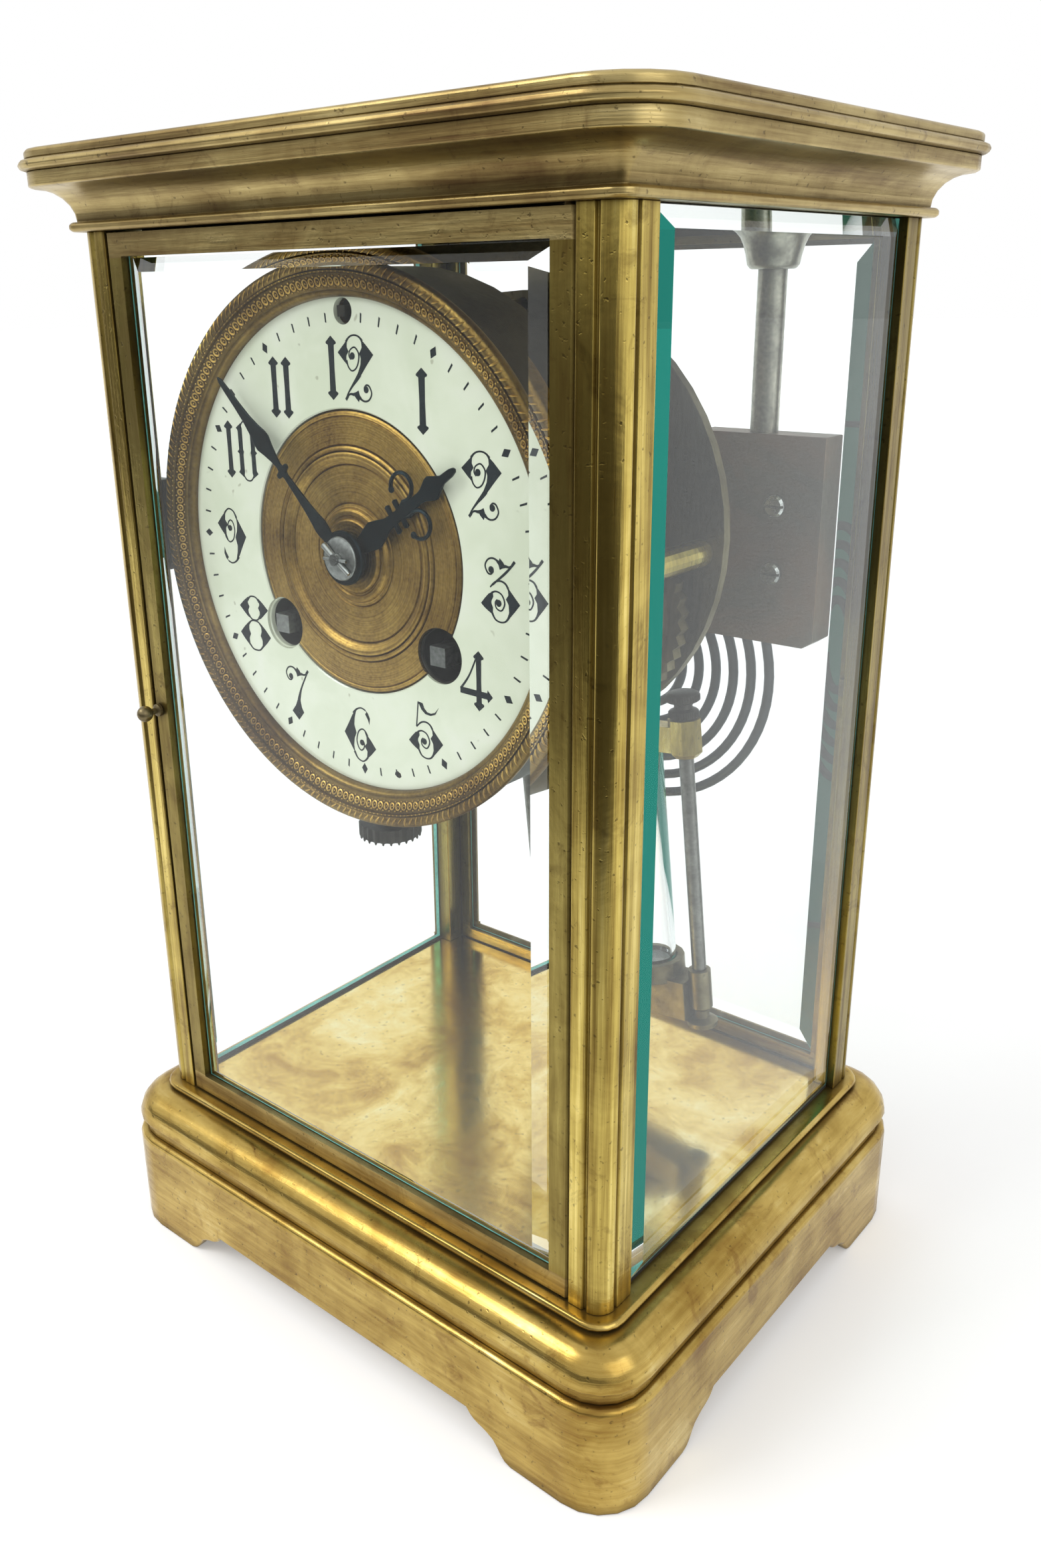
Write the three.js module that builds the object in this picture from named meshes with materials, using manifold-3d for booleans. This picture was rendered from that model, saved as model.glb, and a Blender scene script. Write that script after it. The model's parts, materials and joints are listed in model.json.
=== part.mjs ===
// Four glass mantel clock: a brass case glazed on all four sides, with a framed door at the front and
// one at the back, a striking movement behind a round enamel dial, a coiled gong and a twin jar pendulum.
// Millimetres, +Z up, the dial faces -Y, and the origin is at the middle of the footprint on the table.

import * as THREE from 'three';
import { mergeVertices } from 'three/addons/utils/BufferGeometryUtils.js';
import Module from 'manifold-3d';

const wasm = await Module();
wasm.setup();

// Driving dimensions of the case
const CASE_HEIGHT = 270;
const CASE_WIDTH = 141.8; // over the pillars
const CASE_DEPTH = 115; // over the pillars
const PLINTH_HEIGHT = 27.9;
const NECK_HEIGHT = 3.4; // dark groove above the plinth
const OVOLO_HEIGHT = 8.2;
const LEDGE_THICKNESS = 2.1; // floor plate that the pillars stand on
const PLINTH_OVERHANG = 10.9; // beyond the pillars, on every side
const NECK_OVERHANG = 9.1;
const OVOLO_OVERHANG = 10.5;
const LEDGE_OVERHANG = 2.8;
const PLINTH_CORNER = 13.3;
const LEDGE_CORNER = 6.6;
const BASE_WALL = 3;
const PLINTH_ROUNDING = 1.6; // rounded upper edge of the plinth
const OVOLO_STEP = 0.5; // fillet under the ovolo, and its setback from the floor plate's edge
const FOOT_LENGTH = 27; // from the plinth's side to the tip of the foot
const APRON_HEIGHT = 8.9;
const APRON_OGEE = 12.5; // length of the curve from foot to apron

// Cornice
const CORNICE_FILLET = 1.9; // bottom edge of the cornice, above the pillars
const COVE_HEIGHT = 7.0;
const FASCIA_HEIGHT = 2.9;
const CORNICE_BEAD = 2.3; // projecting round edged plate
const CAP_THICKNESS = 2.0;
const FILLET_OVERHANG = 2.3;
const COVE_FOOT_OVERHANG = 0.4;
const COVE_STEP = 0.6; // from the cove's upper edge out to the fascia
const FILLET_ROUNDING = 0.5;
const CAP_ROUNDING = 0.5;
const FASCIA_OVERHANG = 9.9;
const BEAD_OVERHANG = 11.7;
const CAP_OVERHANG = 10.3;
const CORNICE_INNER_CORNER = 3.4;
const CORNICE_OUTER_CORNER = 13.6;
const CORNICE_WALL = 2.2;

// Corner pillars: a flat, a quirk, a round corner bead, a quirk and a flat
const PILLAR_WIDTH = 8.9;
const PILLAR_DEPTH = 10.3;
const PILLAR_FLAT = 3.5;
const PILLAR_QUIRK = 0.9;
const BEAD_RADIUS = 4.4;

// Glass
const SIDE_GLASS_THICKNESS = 4.2;
const SIDE_GLASS_BEVEL = 4.6;
const SIDE_GLASS_EDGE = 2.7; // thickness left at the bevelled edge
const SIDE_GLASS_INSET = 0.4; // behind the pillars' outer face
const PACKING_HEIGHT = 1.0; // dark strip under each side glass
const DOOR_GLASS_THICKNESS = 2.9;
const DOOR_GLASS_BEVEL = 7.5;
const DOOR_GLASS_EDGE = 1.5;

// Doors
const DOOR_DEPTH = 4.5;
const DOOR_RAIL = 4.7; // visible width of stiles and rails
const DOOR_INSET = 0.2; // behind the pillars' front face
const DOOR_SIDE_GAP = 0.45; // to the pillars
const DOOR_END_GAP = 0.5; // to the floor plate and the cornice
const DOOR_LIP = 1.4; // in front of the glass's edge
const DOOR_REBATE = 1.5; // how far the glass reaches under the frame
const DOOR_EDGE_CHAMFER = 0.5;
const PIN_RADIUS = 0.9;
const PIN_LENGTH = 1.5;
const PIN_INSET = 1.75; // from the stile's outer edge to the pin's axis
const PIN_SETBACK = 1.4; // from the door's front face to the pin's axis
const FIT_GAP = 0.3; // clearance between a piece and what it passes through or sits in

// Door catch
const CATCH_FROM_EDGE = 1.9;
const CATCH_SHAFT_RADIUS = 0.7;
const CATCH_BALL_RADIUS = 1.9;
const CATCH_COLLAR_RADIUS = 1.5;
const CATCH_REACH = 4.4; // from the door's front face to the ball's middle
const TONGUE_LENGTH = 3.4;
const TONGUE_WIDTH = 1.7;
const TONGUE_THICKNESS = 0.9;

// Dial, bezel and drum: across, they follow the bezel; from front to back, they follow the enamel's face
const BEZEL_TO_PILLAR = 4.7;
const BEZEL_TO_CEILING = 6.4;
const ENAMEL_SETBACK = 10.3; // from the door's front face to the enamel's face
const BEZEL_PROUD = 3.9; // in front of the enamel
const BEZEL_SEAT = 1.0; // its back, in front of the enamel's face
const BEZEL_FACE_WIDTH = 6.9;
const BEZEL_LIP = 2.6; // how far it covers the enamel's edge
const ENAMEL_THICKNESS = 1.4;
const DIAL_PLATE_THICKNESS = 1.0;
const DRUM_INSET = 1.8; // behind the bezel's outer edge
const DRUM_DEPTH = 20; // behind the enamel's face
const DRUM_WALL = 1.0;
const DRUM_RING_WIDTH = 7.5; // inner ring that carries the movement
const ENAMEL_RING_WIDTH = 21.3; // visible
const CENTRE_RING_WIDTH = 6.9; // outer milled ring of the gilt centre
const CENTRE_GROOVE_WIDTH = 1.8;
const CENTRE_SLOPE_WIDTH = 1.6;
const CENTRE_BOSS_TOP = 7.4;
const CENTRE_BOSS_FOOT = 10.4;
const WINDING_DROP = 17.5;
const WINDING_HOLE = 5.8;
const WINDING_SQUARE = 4.0;
const WINDING_PROUD = 0.7; // square tips in front of the enamel
const REGULATOR_INSET = 3.0; // from the enamel's visible edge
const REGULATOR_HOLE = 2.6;
const REGULATOR_SQUARE = 2.6;

// Movement
const FRONT_PLATE_SETBACK = 13; // from the enamel's face to the front plate's face
const BACK_PLATE_TO_GONG = 35.9; // from the back plate's front face to the gong's middle
const PLATE_THICKNESS = 2.5;
const FRONT_PLATE_INSET = 5.5; // inside the drum's outer radius
const BACK_PLATE_INSET = 5;
const MOVEMENT_PILLAR_RADIUS = 3;
const MOVEMENT_PILLAR_INSET = 5.5; // from the back plate's edge to the pillars' axes
const MOVEMENT_PILLAR_ANGLES = [-4, 62, 118, 184];
const BARREL_SETBACK = 16; // from the front plate's face
const BARREL_INSET = 3.4; // inside its great wheel's rim
const GREAT_WHEEL_HALF_GAP = 1; // half the gap between the two great wheels
const GREAT_WHEEL_TEETH = 40;
const GREAT_WHEEL_THICKNESS = 3.0;
const TOOTH_DEPTH = 1.1;
const WHEEL_TO_PLATE = 3.0;
const BARREL_ARBOR_RADIUS = 2.4;
const CENTRE_WHEEL_CLEARANCE = 5; // from its rim to the escape wheel's arbor
const CENTRE_WHEEL_TEETH = 30;
const CENTRE_WHEEL_TO_PLATE = 4;
const CANNON_RADIUS = 2.9;
const CANNON_TEETH = 10;
const CANNON_LENGTH = 1.7;
const HOUR_WHEEL_TEETH = 24;
const WHEEL_THICKNESS = 1.4;
const CENTRE_ARBOR_RADIUS = 1.2;
const HOUR_PIPE_RADIUS = 3.1;
const HOUR_WHEEL_RADIUS = 11;
const HOUR_WHEEL_TO_PLATE = 2.4;
const ESCAPE_BELOW_PALLETS = 17.8; // from arbor to arbor
const ESCAPE_RADIUS = 10.5;
const ESCAPE_TEETH = 30;
const ESCAPE_TOOTH = 1.3;
const ESCAPE_THICKNESS = 1;
const ESCAPE_ARBOR_RADIUS = 0.8;
const ESCAPE_TO_BACK_PLATE = 14.5;
const PALLET_ARBOR_RADIUS = 0.9;

// Hands, standing at 1:52 as photographed
const SHOWN_MINUTES = 52.4;
const SHOWN_HOUR = 1;
const HAND_THICKNESS = 0.6;
const HOUR_HAND_PROUD = 2.2; // front face, in front of the enamel
const MINUTE_HAND_PROUD = 3.6;
const MINUTE_HAND_INSET = 1.3; // its tip, inside the enamel's visible edge
const HOUR_HAND_SHORTER = 13.5; // than the minute hand
const HAND_BOSS_RADIUS = 5.6;
const SCROLL_OFFSET = 4.1; // from the hour hand's middle line
const SCROLL_RADIUS = 3.3;
const SCROLL_WIRE = 1.1;
const HAND_BAR_WIDTH = 5.8; // two cross bars under the scrolls
const HAND_BAR_HEIGHT = 0.9;
const HAND_BAR_SPACING = 2.4;
const COLLET_RADIUS = 4.5;
const COLLET_THICKNESS = 1.0;
const COLLET_GAP = 0.02;
const ARBOR_PROUD = 6.0;
const HAND_PIN_INSET = 0.55; // from the arbor's tip
const HAND_PIN_RADIUS = 0.4;
const HAND_PIN_LENGTH = 6.4;

// Pendulum, caught at the end of its swing as photographed
const SWING_SHOWN = 6.2; // degrees towards +X
const PENDULUM_BEHIND_PLATE = 13.6;
const PIVOT_TO_REGULATOR = 9.6; // below it
const PENDULUM_CLEARANCE = 29.4; // from the floor plate to the bottom bar's top
const BAR_SPACING = 67; // from the top bar's top to the bottom bar's top
const ROD_SPACING = 23.2; // half the distance between the side rods
const SIDE_ROD_RADIUS = 2.1;
const TOP_BAR_HEIGHT = 6.5;
const TOP_BAR_DEPTH = 5.2;
const BOTTOM_BAR_HEIGHT = 10.5;
const BOTTOM_BAR_DEPTH = 9;
const JAR_RADIUS = 6.2;
const JAR_WALL = 1.3;
const JAR_OFFSET = 9.2;
const JAR_SEAT = 1; // depth of the cup under the bar's top
const JAR_CAP_HEIGHT = 4;
const JAR_CAP_RADIUS = 8.3;
const JAR_CROWN_RISE = 2; // round crown on the top bar, over each jar
const JAR_CROWN_INSET = 2.2;
const SUSPENSION_LENGTH = 12;
const SPRING_WIDTH = 4.4;
const SPRING_THICKNESS = 0.5;
const SPRING_RISE = 3.6; // above the pivot
const SPRING_BLOCK_WIDTH = 5.2;
const SPRING_BLOCK_DEPTH = 2.4;
const SPRING_BLOCK_HEIGHT = 8;
const COCK_RISE = 4.2; // above the pivot
const COCK_WIDTH = 12;
const COCK_HEIGHT = 6.5;
const COCK_OVERHANG = 3.5; // behind the pendulum's middle
const COCK_FOOT_WIDTH = 18;
const COCK_FOOT_THICKNESS = 1.8;
const UPPER_ROD_RADIUS = 1.4;
const NUT_RADIUS = 4;
const NUT_HEIGHT = 6.6;
const BOSS_WIDTH = 7.4; // eight sided ends of the top bar, round the side rods
const BOSS_RISE = 1.9;
const BOSS_DROP = 1.2;
const FERRULE_RADIUS = 2.9;
const FERRULE_RISE = 3; // above the bottom bar
const KNOB_DROP = 2; // below the bottom bar
const CRUTCH_LENGTH = 31.5;
const CRUTCH_WIDTH = 2;
const CRUTCH_THICKNESS = 1.4;
const CRUTCH_TO_PLATE = 4;
const PRONG_WIDTH = 1.2;
const PRONG_HEIGHT = 2.5;
const PRONG_REACH = 3; // behind the pendulum's middle
const PALLET_THICKNESS = 1.2;
const PALLET_HALF_SPAN = 6.4;
const PALLET_FACE = 1.2;
const ANCHOR_RISE = 1.8;

// Gong
const GONG_TO_DOOR = 12.9; // from the gong's middle to the rear door's outer face
const GONG_X = 7.5;
const GONG_DROP = 41.9; // below the dial's middle
const GONG_RADIUS = 36.8;
const GONG_PITCH = 4.9; // radial distance from turn to turn
const GONG_TURNS = 5.5;
const GONG_WIRE = 2.4; // diameter
const GONG_STEPS = 24;
const GONG_SIDES = 6;
const GONG_LEAN = 15; // degrees past the level where the last turn straightens
const GONG_EASE_RADIUS = 25;
const BLOCK_TO_PILLAR = 2.7; // across
const BLOCK_WIDTH = 32.3;
const BLOCK_THICKNESS = 8;
const BLOCK_TO_GONG = 1.7; // from its rear face to the gong's middle
const BLOCK_DROP = 44.3; // from the ceiling
const BLOCK_HEIGHT = 47.6;
const BLOCK_CHAMFER = 2.6;
const CLAMP_DEPTH = 5.2;
const CLAMP_WIDTH = 19;
const CLAMP_INSET = 3.3; // from the block's right edge
const CLAMP_HEIGHT = 28.5;
const CLAMP_RISE = 8.5; // above the block's lower edge
const GONG_SCREW_INSET = 11; // from the block's right edge
const GONG_SCREW_RISES = [32, 16.6]; // above the block's lower edge
const GONG_SCREW_RADIUS = 1.5;
const GONG_SCREW_HEAD = 2.5;
const GONG_SCREW_HEAD_HEIGHT = 1.5;
const GONG_SCREW_SLOT = 0.6;
const STAND_X = 42.2;
const STAND_TO_GONG = 5.8; // in front of the gong's middle
const STAND_ROD_RADIUS = 3.6;
const FLARE_RADIUS = 11;
const FERRULE_HEIGHT = 9.7;

// Hammer, brackets and thumbscrew
const HAMMER_X = -35.5;
const HAMMER_RISE = 14;
const HAMMER_STEM_RADIUS = 0.9;
const HAMMER_HEAD_RADIUS = 3;
const HAMMER_HEAD_LENGTH = 8;
const BRACKET_THICKNESS = 3;
const BRACKET_NARROW = 7; // half height at the drum
const BRACKET_WIDE = 10.5; // half height at the pillar
const BRACKET_OVERLAP = 4; // how far it reaches behind the pillar
const THUMB_SETBACK = 7; // behind the enamel's face
const THUMB_RADIUS = 7;
const THUMB_THICKNESS = 4;
const THUMB_DROP = 5.2; // from the drum to the underside of the head
const THUMB_SHANK_RADIUS = 1.8;
const THUMB_RIDGES = 24;
const THUMB_RIDGE_DEPTH = 0.35;

// Facets round a circle
const FINE = 48;
const MEDIUM = 36;
const SMALL = 20;
const TINY = 12;
const CORNER_STEPS = 5;

// Worked out from the sizes above
const HALF_WIDTH = CASE_WIDTH / 2;
const HALF_DEPTH = CASE_DEPTH / 2;
const FLOOR_TOP = PLINTH_HEIGHT + NECK_HEIGHT + OVOLO_HEIGHT + LEDGE_THICKNESS;
const CORNICE_HEIGHT = CORNICE_FILLET + COVE_HEIGHT + FASCIA_HEIGHT + CORNICE_BEAD + CAP_THICKNESS;
const CORNICE_BOTTOM = CASE_HEIGHT - CORNICE_HEIGHT;
const PILLAR_INNER_X = HALF_WIDTH - PILLAR_WIDTH;
const PILLAR_INNER_Y = HALF_DEPTH - PILLAR_DEPTH;
const DOOR_HALF_WIDTH = PILLAR_INNER_X - DOOR_SIDE_GAP;
const DOOR_FRONT_Y = -(HALF_DEPTH - DOOR_INSET);
const DOOR_BOTTOM = FLOOR_TOP + DOOR_END_GAP;
const DOOR_TOP = CORNICE_BOTTOM - DOOR_END_GAP;
const CATCH_HEIGHT = (FLOOR_TOP + CORNICE_BOTTOM) / 2;
const HINGE_X = DOOR_HALF_WIDTH - PIN_INSET;
const HINGE_Y = DOOR_FRONT_Y + PIN_SETBACK;
const CATCH_X = -(DOOR_HALF_WIDTH - CATCH_FROM_EDGE);
const BEZEL_RADIUS = PILLAR_INNER_X - BEZEL_TO_PILLAR;
const ENAMEL_OPENING = BEZEL_RADIUS - BEZEL_FACE_WIDTH;
const ENAMEL_RADIUS = ENAMEL_OPENING + BEZEL_LIP;
const REGULATOR_RISE = ENAMEL_OPENING - REGULATOR_INSET;
const PIVOT_RISE = REGULATOR_RISE - PIVOT_TO_REGULATOR;
const CENTRE_RADIUS = ENAMEL_OPENING - ENAMEL_RING_WIDTH;
const MINUTE_HAND_LENGTH = ENAMEL_OPENING - MINUTE_HAND_INSET;
const HOUR_HAND_LENGTH = MINUTE_HAND_LENGTH - HOUR_HAND_SHORTER;
const DRUM_RADIUS = BEZEL_RADIUS - DRUM_INSET;
const DRUM_RING_RADIUS = DRUM_RADIUS - DRUM_RING_WIDTH;
const DIAL_HEIGHT = CORNICE_BOTTOM - BEZEL_TO_CEILING - BEZEL_RADIUS;
const ENAMEL_FACE_Y = DOOR_FRONT_Y + ENAMEL_SETBACK;
const DIAL_PLATE_FRONT_Y = ENAMEL_FACE_Y + ENAMEL_THICKNESS;
const DIAL_PLATE_BACK_Y = DIAL_PLATE_FRONT_Y + DIAL_PLATE_THICKNESS;
const BEZEL_FRONT_Y = ENAMEL_FACE_Y - BEZEL_PROUD;
const BEZEL_BACK_Y = ENAMEL_FACE_Y - BEZEL_SEAT;
const DRUM_BACK_Y = ENAMEL_FACE_Y + DRUM_DEPTH;
const HOUR_HAND_Y = ENAMEL_FACE_Y - HOUR_HAND_PROUD; // front faces
const MINUTE_HAND_Y = ENAMEL_FACE_Y - MINUTE_HAND_PROUD;
const ARBOR_TIP_Y = ENAMEL_FACE_Y - ARBOR_PROUD;
const HAND_PIN_Y = ARBOR_TIP_Y + HAND_PIN_INSET;
const THUMB_Y = ENAMEL_FACE_Y + THUMB_SETBACK;
const GONG_Y = -DOOR_FRONT_Y - GONG_TO_DOOR;
const GONG_HEIGHT = DIAL_HEIGHT - GONG_DROP;
const FRONT_PLATE_Y = ENAMEL_FACE_Y + FRONT_PLATE_SETBACK;
const FRONT_PLATE_REAR_Y = FRONT_PLATE_Y + PLATE_THICKNESS;
const BACK_PLATE_Y = GONG_Y - BACK_PLATE_TO_GONG;
const BACK_PLATE_REAR_Y = BACK_PLATE_Y + PLATE_THICKNESS;
const FRONT_PLATE_RADIUS = DRUM_RADIUS - FRONT_PLATE_INSET;
const BACK_PLATE_RADIUS = DRUM_RADIUS - BACK_PLATE_INSET;
const MOVEMENT_PILLAR_CIRCLE = BACK_PLATE_RADIUS - MOVEMENT_PILLAR_INSET;
// The great wheels stand side by side and reach to the back plate's edge.
const GREAT_WHEEL_RADIUS = (BACK_PLATE_RADIUS ** 2 - GREAT_WHEEL_HALF_GAP ** 2 - WINDING_DROP ** 2)
  / (2 * (BACK_PLATE_RADIUS + GREAT_WHEEL_HALF_GAP));
const WINDING_X = GREAT_WHEEL_RADIUS + GREAT_WHEEL_HALF_GAP;
const BARREL_RADIUS = GREAT_WHEEL_RADIUS - BARREL_INSET;
const ESCAPE_RISE = PIVOT_RISE - ESCAPE_BELOW_PALLETS;
const CENTRE_WHEEL_RADIUS = ESCAPE_RISE - CENTRE_WHEEL_CLEARANCE;
const BARREL_FRONT_Y = FRONT_PLATE_Y + BARREL_SETBACK;
const ESCAPE_Y = BACK_PLATE_Y - ESCAPE_TO_BACK_PLATE;
const PENDULUM_Y = BACK_PLATE_REAR_Y + PENDULUM_BEHIND_PLATE;
const PIVOT_HEIGHT = DIAL_HEIGHT + PIVOT_RISE;
const BOTTOM_BAR_DROP = PIVOT_HEIGHT - FLOOR_TOP - PENDULUM_CLEARANCE;
const TOP_BAR_DROP = BOTTOM_BAR_DROP - BAR_SPACING;
const BLOCK_RIGHT = PILLAR_INNER_X - BLOCK_TO_PILLAR;
const BLOCK_LEFT = BLOCK_RIGHT - BLOCK_WIDTH;
const BLOCK_BACK_Y = GONG_Y - BLOCK_TO_GONG;
const BLOCK_FRONT_Y = BLOCK_BACK_Y - BLOCK_THICKNESS;
const BLOCK_TOP = CORNICE_BOTTOM - BLOCK_DROP;
const BLOCK_BOTTOM = BLOCK_TOP - BLOCK_HEIGHT;
const CLAMP_RIGHT = BLOCK_RIGHT - CLAMP_INSET;
const CLAMP_LEFT = CLAMP_RIGHT - CLAMP_WIDTH;
const CLAMP_BACK_Y = BLOCK_BACK_Y + CLAMP_DEPTH;
const CLAMP_BOTTOM = BLOCK_BOTTOM + CLAMP_RISE;
const CLAMP_TOP = CLAMP_BOTTOM + CLAMP_HEIGHT;
const GONG_SCREW_X = BLOCK_RIGHT - GONG_SCREW_INSET;
const STAND_Y = GONG_Y - STAND_TO_GONG;
const radians = THREE.MathUtils.degToRad;

// Materials, as seen in the photograph
const paint = (color, roughness, metalness, extra = {}) =>
  new THREE.MeshStandardMaterial({ color, roughness, metalness, ...extra });
const MATERIALS = {
  agedBrass: paint(0x8f7a45, 0.38, 0.9),
  goldenBrass: paint(0xa88a45, 0.34, 0.9),
  giltBrass: paint(0xa9793f, 0.5, 0.85),
  darkDrum: paint(0x3d3029, 0.5, 0.7),
  plateBrass: paint(0x6f6348, 0.45, 0.85),
  steel: paint(0x8f9092, 0.35, 0.9),
  bluedSteel: paint(0x1f2a2c, 0.4, 0.8),
  enamel: paint(0xe9efe0, 0.12, 0),
  glass: paint(0xcfe3dd, 0.03, 0, { transparent: true, opacity: 0.3 }),
  packing: paint(0x17140f, 0.9, 0),
};

// Solids

// Turns a closed three.js geometry into a solid with its faces pointing out.
function solid(geometry) {
  const bare = new THREE.BufferGeometry();
  bare.setAttribute('position', geometry.getAttribute('position').clone());
  if (geometry.index) bare.setIndex(geometry.index.clone());
  const merged = mergeVertices(bare, 1e-4);
  const positions = merged.getAttribute('position').array;
  const corners = merged.index.array;
  const triangles = [];
  let volume = 0;
  const a = new THREE.Vector3();
  const b = new THREE.Vector3();
  const c = new THREE.Vector3();
  for (let i = 0; i < corners.length; i += 3) {
    const [p, q, r] = [corners[i], corners[i + 1], corners[i + 2]];
    if (p === q || q === r || r === p) continue;
    triangles.push(p, q, r);
    a.fromArray(positions, p * 3);
    b.fromArray(positions, q * 3);
    c.fromArray(positions, r * 3);
    volume += a.dot(b.cross(c));
  }
  if (volume < 0) triangles.reverse();
  const mesh = new wasm.Mesh({
    numProp: 3,
    vertProperties: new Float32Array(positions),
    triVerts: new Uint32Array(triangles),
  });
  return new wasm.Manifold(mesh);
}

const join = (first, ...others) => others.reduce((whole, piece) => whole.add(piece), first);
const cut = (first, ...others) => others.reduce((whole, piece) => whole.subtract(piece), first);

function geometryOf(piece) {
  const mesh = piece.getMesh();
  const geometry = new THREE.BufferGeometry();
  geometry.setAttribute('position', new THREE.BufferAttribute(mesh.vertProperties, 3));
  geometry.setIndex(new THREE.BufferAttribute(mesh.triVerts, 1));
  return geometry;
}

function part(name, material, piece, group) {
  const mesh = new THREE.Mesh(geometryOf(piece), MATERIALS[material]);
  mesh.name = name;
  group.add(mesh);
  return mesh;
}

function box(low, high) {
  const size = high.map((value, i) => value - low[i]);
  const geometry = new THREE.BoxGeometry(...size);
  geometry.translate(...low.map((value, i) => value + size[i] / 2));
  return solid(geometry);
}

// Turned pieces: the profile is a list of [radius, distance along the axis].
function turned(profile, axis, at, facets) {
  const points = profile.map(([radius, along]) => new THREE.Vector2(radius, along));
  const geometry = new THREE.LatheGeometry(points, facets);
  if (axis === 'z') geometry.rotateX(Math.PI / 2);
  if (axis === 'x') geometry.rotateZ(-Math.PI / 2);
  geometry.translate(...at);
  return solid(geometry);
}

function ring(inner, outer, low, high, axis = 'y', at = [0, 0, 0], facets = FINE) {
  const profile = [[inner, low], [outer, low], [outer, high], [inner, high], [inner, low]];
  return turned(profile, axis, at, facets);
}

function rod(radius, low, high, axis, at, facets = SMALL) {
  return turned([[0, low], [radius, low], [radius, high], [0, high]], axis, at, facets);
}

function squareBar(side, lowY, highY, x, z) {
  const half = side / 2;
  return box([x - half, lowY, z - half], [x + half, highY, z + half]);
}

// A shape drawn in X and Z, given thickness from lowY to highY.
function plateXZ(shape, lowY, highY, curveSegments = 12) {
  const geometry = new THREE.ExtrudeGeometry(shape, {
    depth: highY - lowY,
    bevelEnabled: false,
    curveSegments,
  });
  geometry.rotateX(Math.PI / 2);
  geometry.translate(0, highY, 0);
  return solid(geometry);
}

function circleShape(radius, x = 0, z = 0) {
  const shape = new THREE.Shape();
  shape.absarc(x, z, radius, 0, Math.PI * 2, false);
  return shape;
}

function polygon(points) {
  return new THREE.Shape(points.map(([x, z]) => new THREE.Vector2(x, z)));
}

function toothedShape(radius, teeth, depth) {
  const outline = [];
  for (let tooth = 0; tooth < teeth; tooth += 1) {
    const angle = (tooth / teeth) * Math.PI * 2;
    const step = (Math.PI * 2) / teeth;
    outline.push([angle, radius - depth], [angle + step / 2, radius]);
  }
  return polygon(outline.map(([angle, r]) => [r * Math.cos(angle), r * Math.sin(angle)]));
}

// Points round a rectangle with rounded corners, anticlockwise seen from above.
function roundedLoop(halfX, halfY, radius) {
  const points = [];
  const corners = [[1, -1, -90], [1, 1, 0], [-1, 1, 90], [-1, -1, 180]];
  for (const [sx, sy, start] of corners) {
    for (let step = 0; step <= CORNER_STEPS; step += 1) {
      const angle = radians(start + (90 * step) / CORNER_STEPS);
      points.push([
        sx * (halfX - radius) + radius * Math.cos(angle),
        sy * (halfY - radius) + radius * Math.sin(angle),
      ]);
    }
  }
  return points;
}

// A moulding that runs round the case. Each level is [overhang beyond the pillars, height, corner radius].
// The levels go up the outside; hollow levels come back down the inside, so that the section closes.
function runRound(levels, hollow = false) {
  const loops = levels.map(([overhang, height, radius]) =>
    roundedLoop(HALF_WIDTH + overhang, HALF_DEPTH + overhang, radius).map(([x, y]) => [x, y, height]));
  const count = loops[0].length;
  const positions = loops.flat(2);
  const indices = [];
  const bands = hollow ? loops.length : loops.length - 1;
  for (let band = 0; band < bands; band += 1) {
    const next = (band + 1) % loops.length;
    for (let i = 0; i < count; i += 1) {
      const j = (i + 1) % count;
      const [a, b, c, d] = [band * count + i, band * count + j, next * count + j, next * count + i];
      indices.push(a, b, c, a, c, d);
    }
  }
  if (!hollow) {
    const last = (loops.length - 1) * count;
    for (let i = 1; i < count - 1; i += 1) {
      indices.push(0, i + 1, i, last, last + i, last + i + 1);
    }
  }
  const geometry = new THREE.BufferGeometry();
  geometry.setAttribute('position', new THREE.Float32BufferAttribute(positions, 3));
  geometry.setIndex(indices);
  return solid(geometry);
}

// A hollow quarter round from one overhang and height up to another.
function cove(fromOverhang, toOverhang, fromHeight, toHeight, radiusAt) {
  const levels = [];
  const steps = 6;
  for (let step = 0; step <= steps; step += 1) {
    const angle = (Math.PI / 2) * (step / steps);
    const overhang = THREE.MathUtils.lerp(fromOverhang, toOverhang, 1 - Math.cos(angle));
    levels.push([overhang, THREE.MathUtils.lerp(fromHeight, toHeight, Math.sin(angle)), radiusAt(overhang)]);
  }
  return levels;
}

// Case

const baseCorner = (overhang) => THREE.MathUtils.mapLinear(
  overhang, LEDGE_OVERHANG, PLINTH_OVERHANG, LEDGE_CORNER, PLINTH_CORNER);
const corniceCorner = (overhang) => THREE.MathUtils.mapLinear(
  overhang, FILLET_OVERHANG, BEAD_OVERHANG, CORNICE_INNER_CORNER, CORNICE_OUTER_CORNER);

// The gap under the apron between two feet, drawn across and up: an ogee rises from each foot.
function apronShape(halfLength) {
  const tip = halfLength - FOOT_LENGTH;
  const flat = tip - APRON_OGEE;
  const shape = new THREE.Shape();
  const below = -1;
  shape.moveTo(-tip, below);
  shape.lineTo(tip, below);
  shape.lineTo(tip, 0);
  shape.bezierCurveTo(tip - 3.6, 0.4, tip - 3.2, 4.6, tip - 6.6, APRON_HEIGHT * 0.62);
  shape.bezierCurveTo(tip - 8.8, APRON_HEIGHT * 0.74, tip - 10.8, APRON_HEIGHT * 0.7, flat, APRON_HEIGHT);
  shape.lineTo(-flat, APRON_HEIGHT);
  shape.bezierCurveTo(-tip + 10.8, APRON_HEIGHT * 0.7, -tip + 8.8, APRON_HEIGHT * 0.74,
    -tip + 6.6, APRON_HEIGHT * 0.62);
  shape.bezierCurveTo(-tip + 3.2, 4.6, -tip + 3.6, 0.4, -tip, 0);
  shape.closePath();
  return shape;
}

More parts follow.
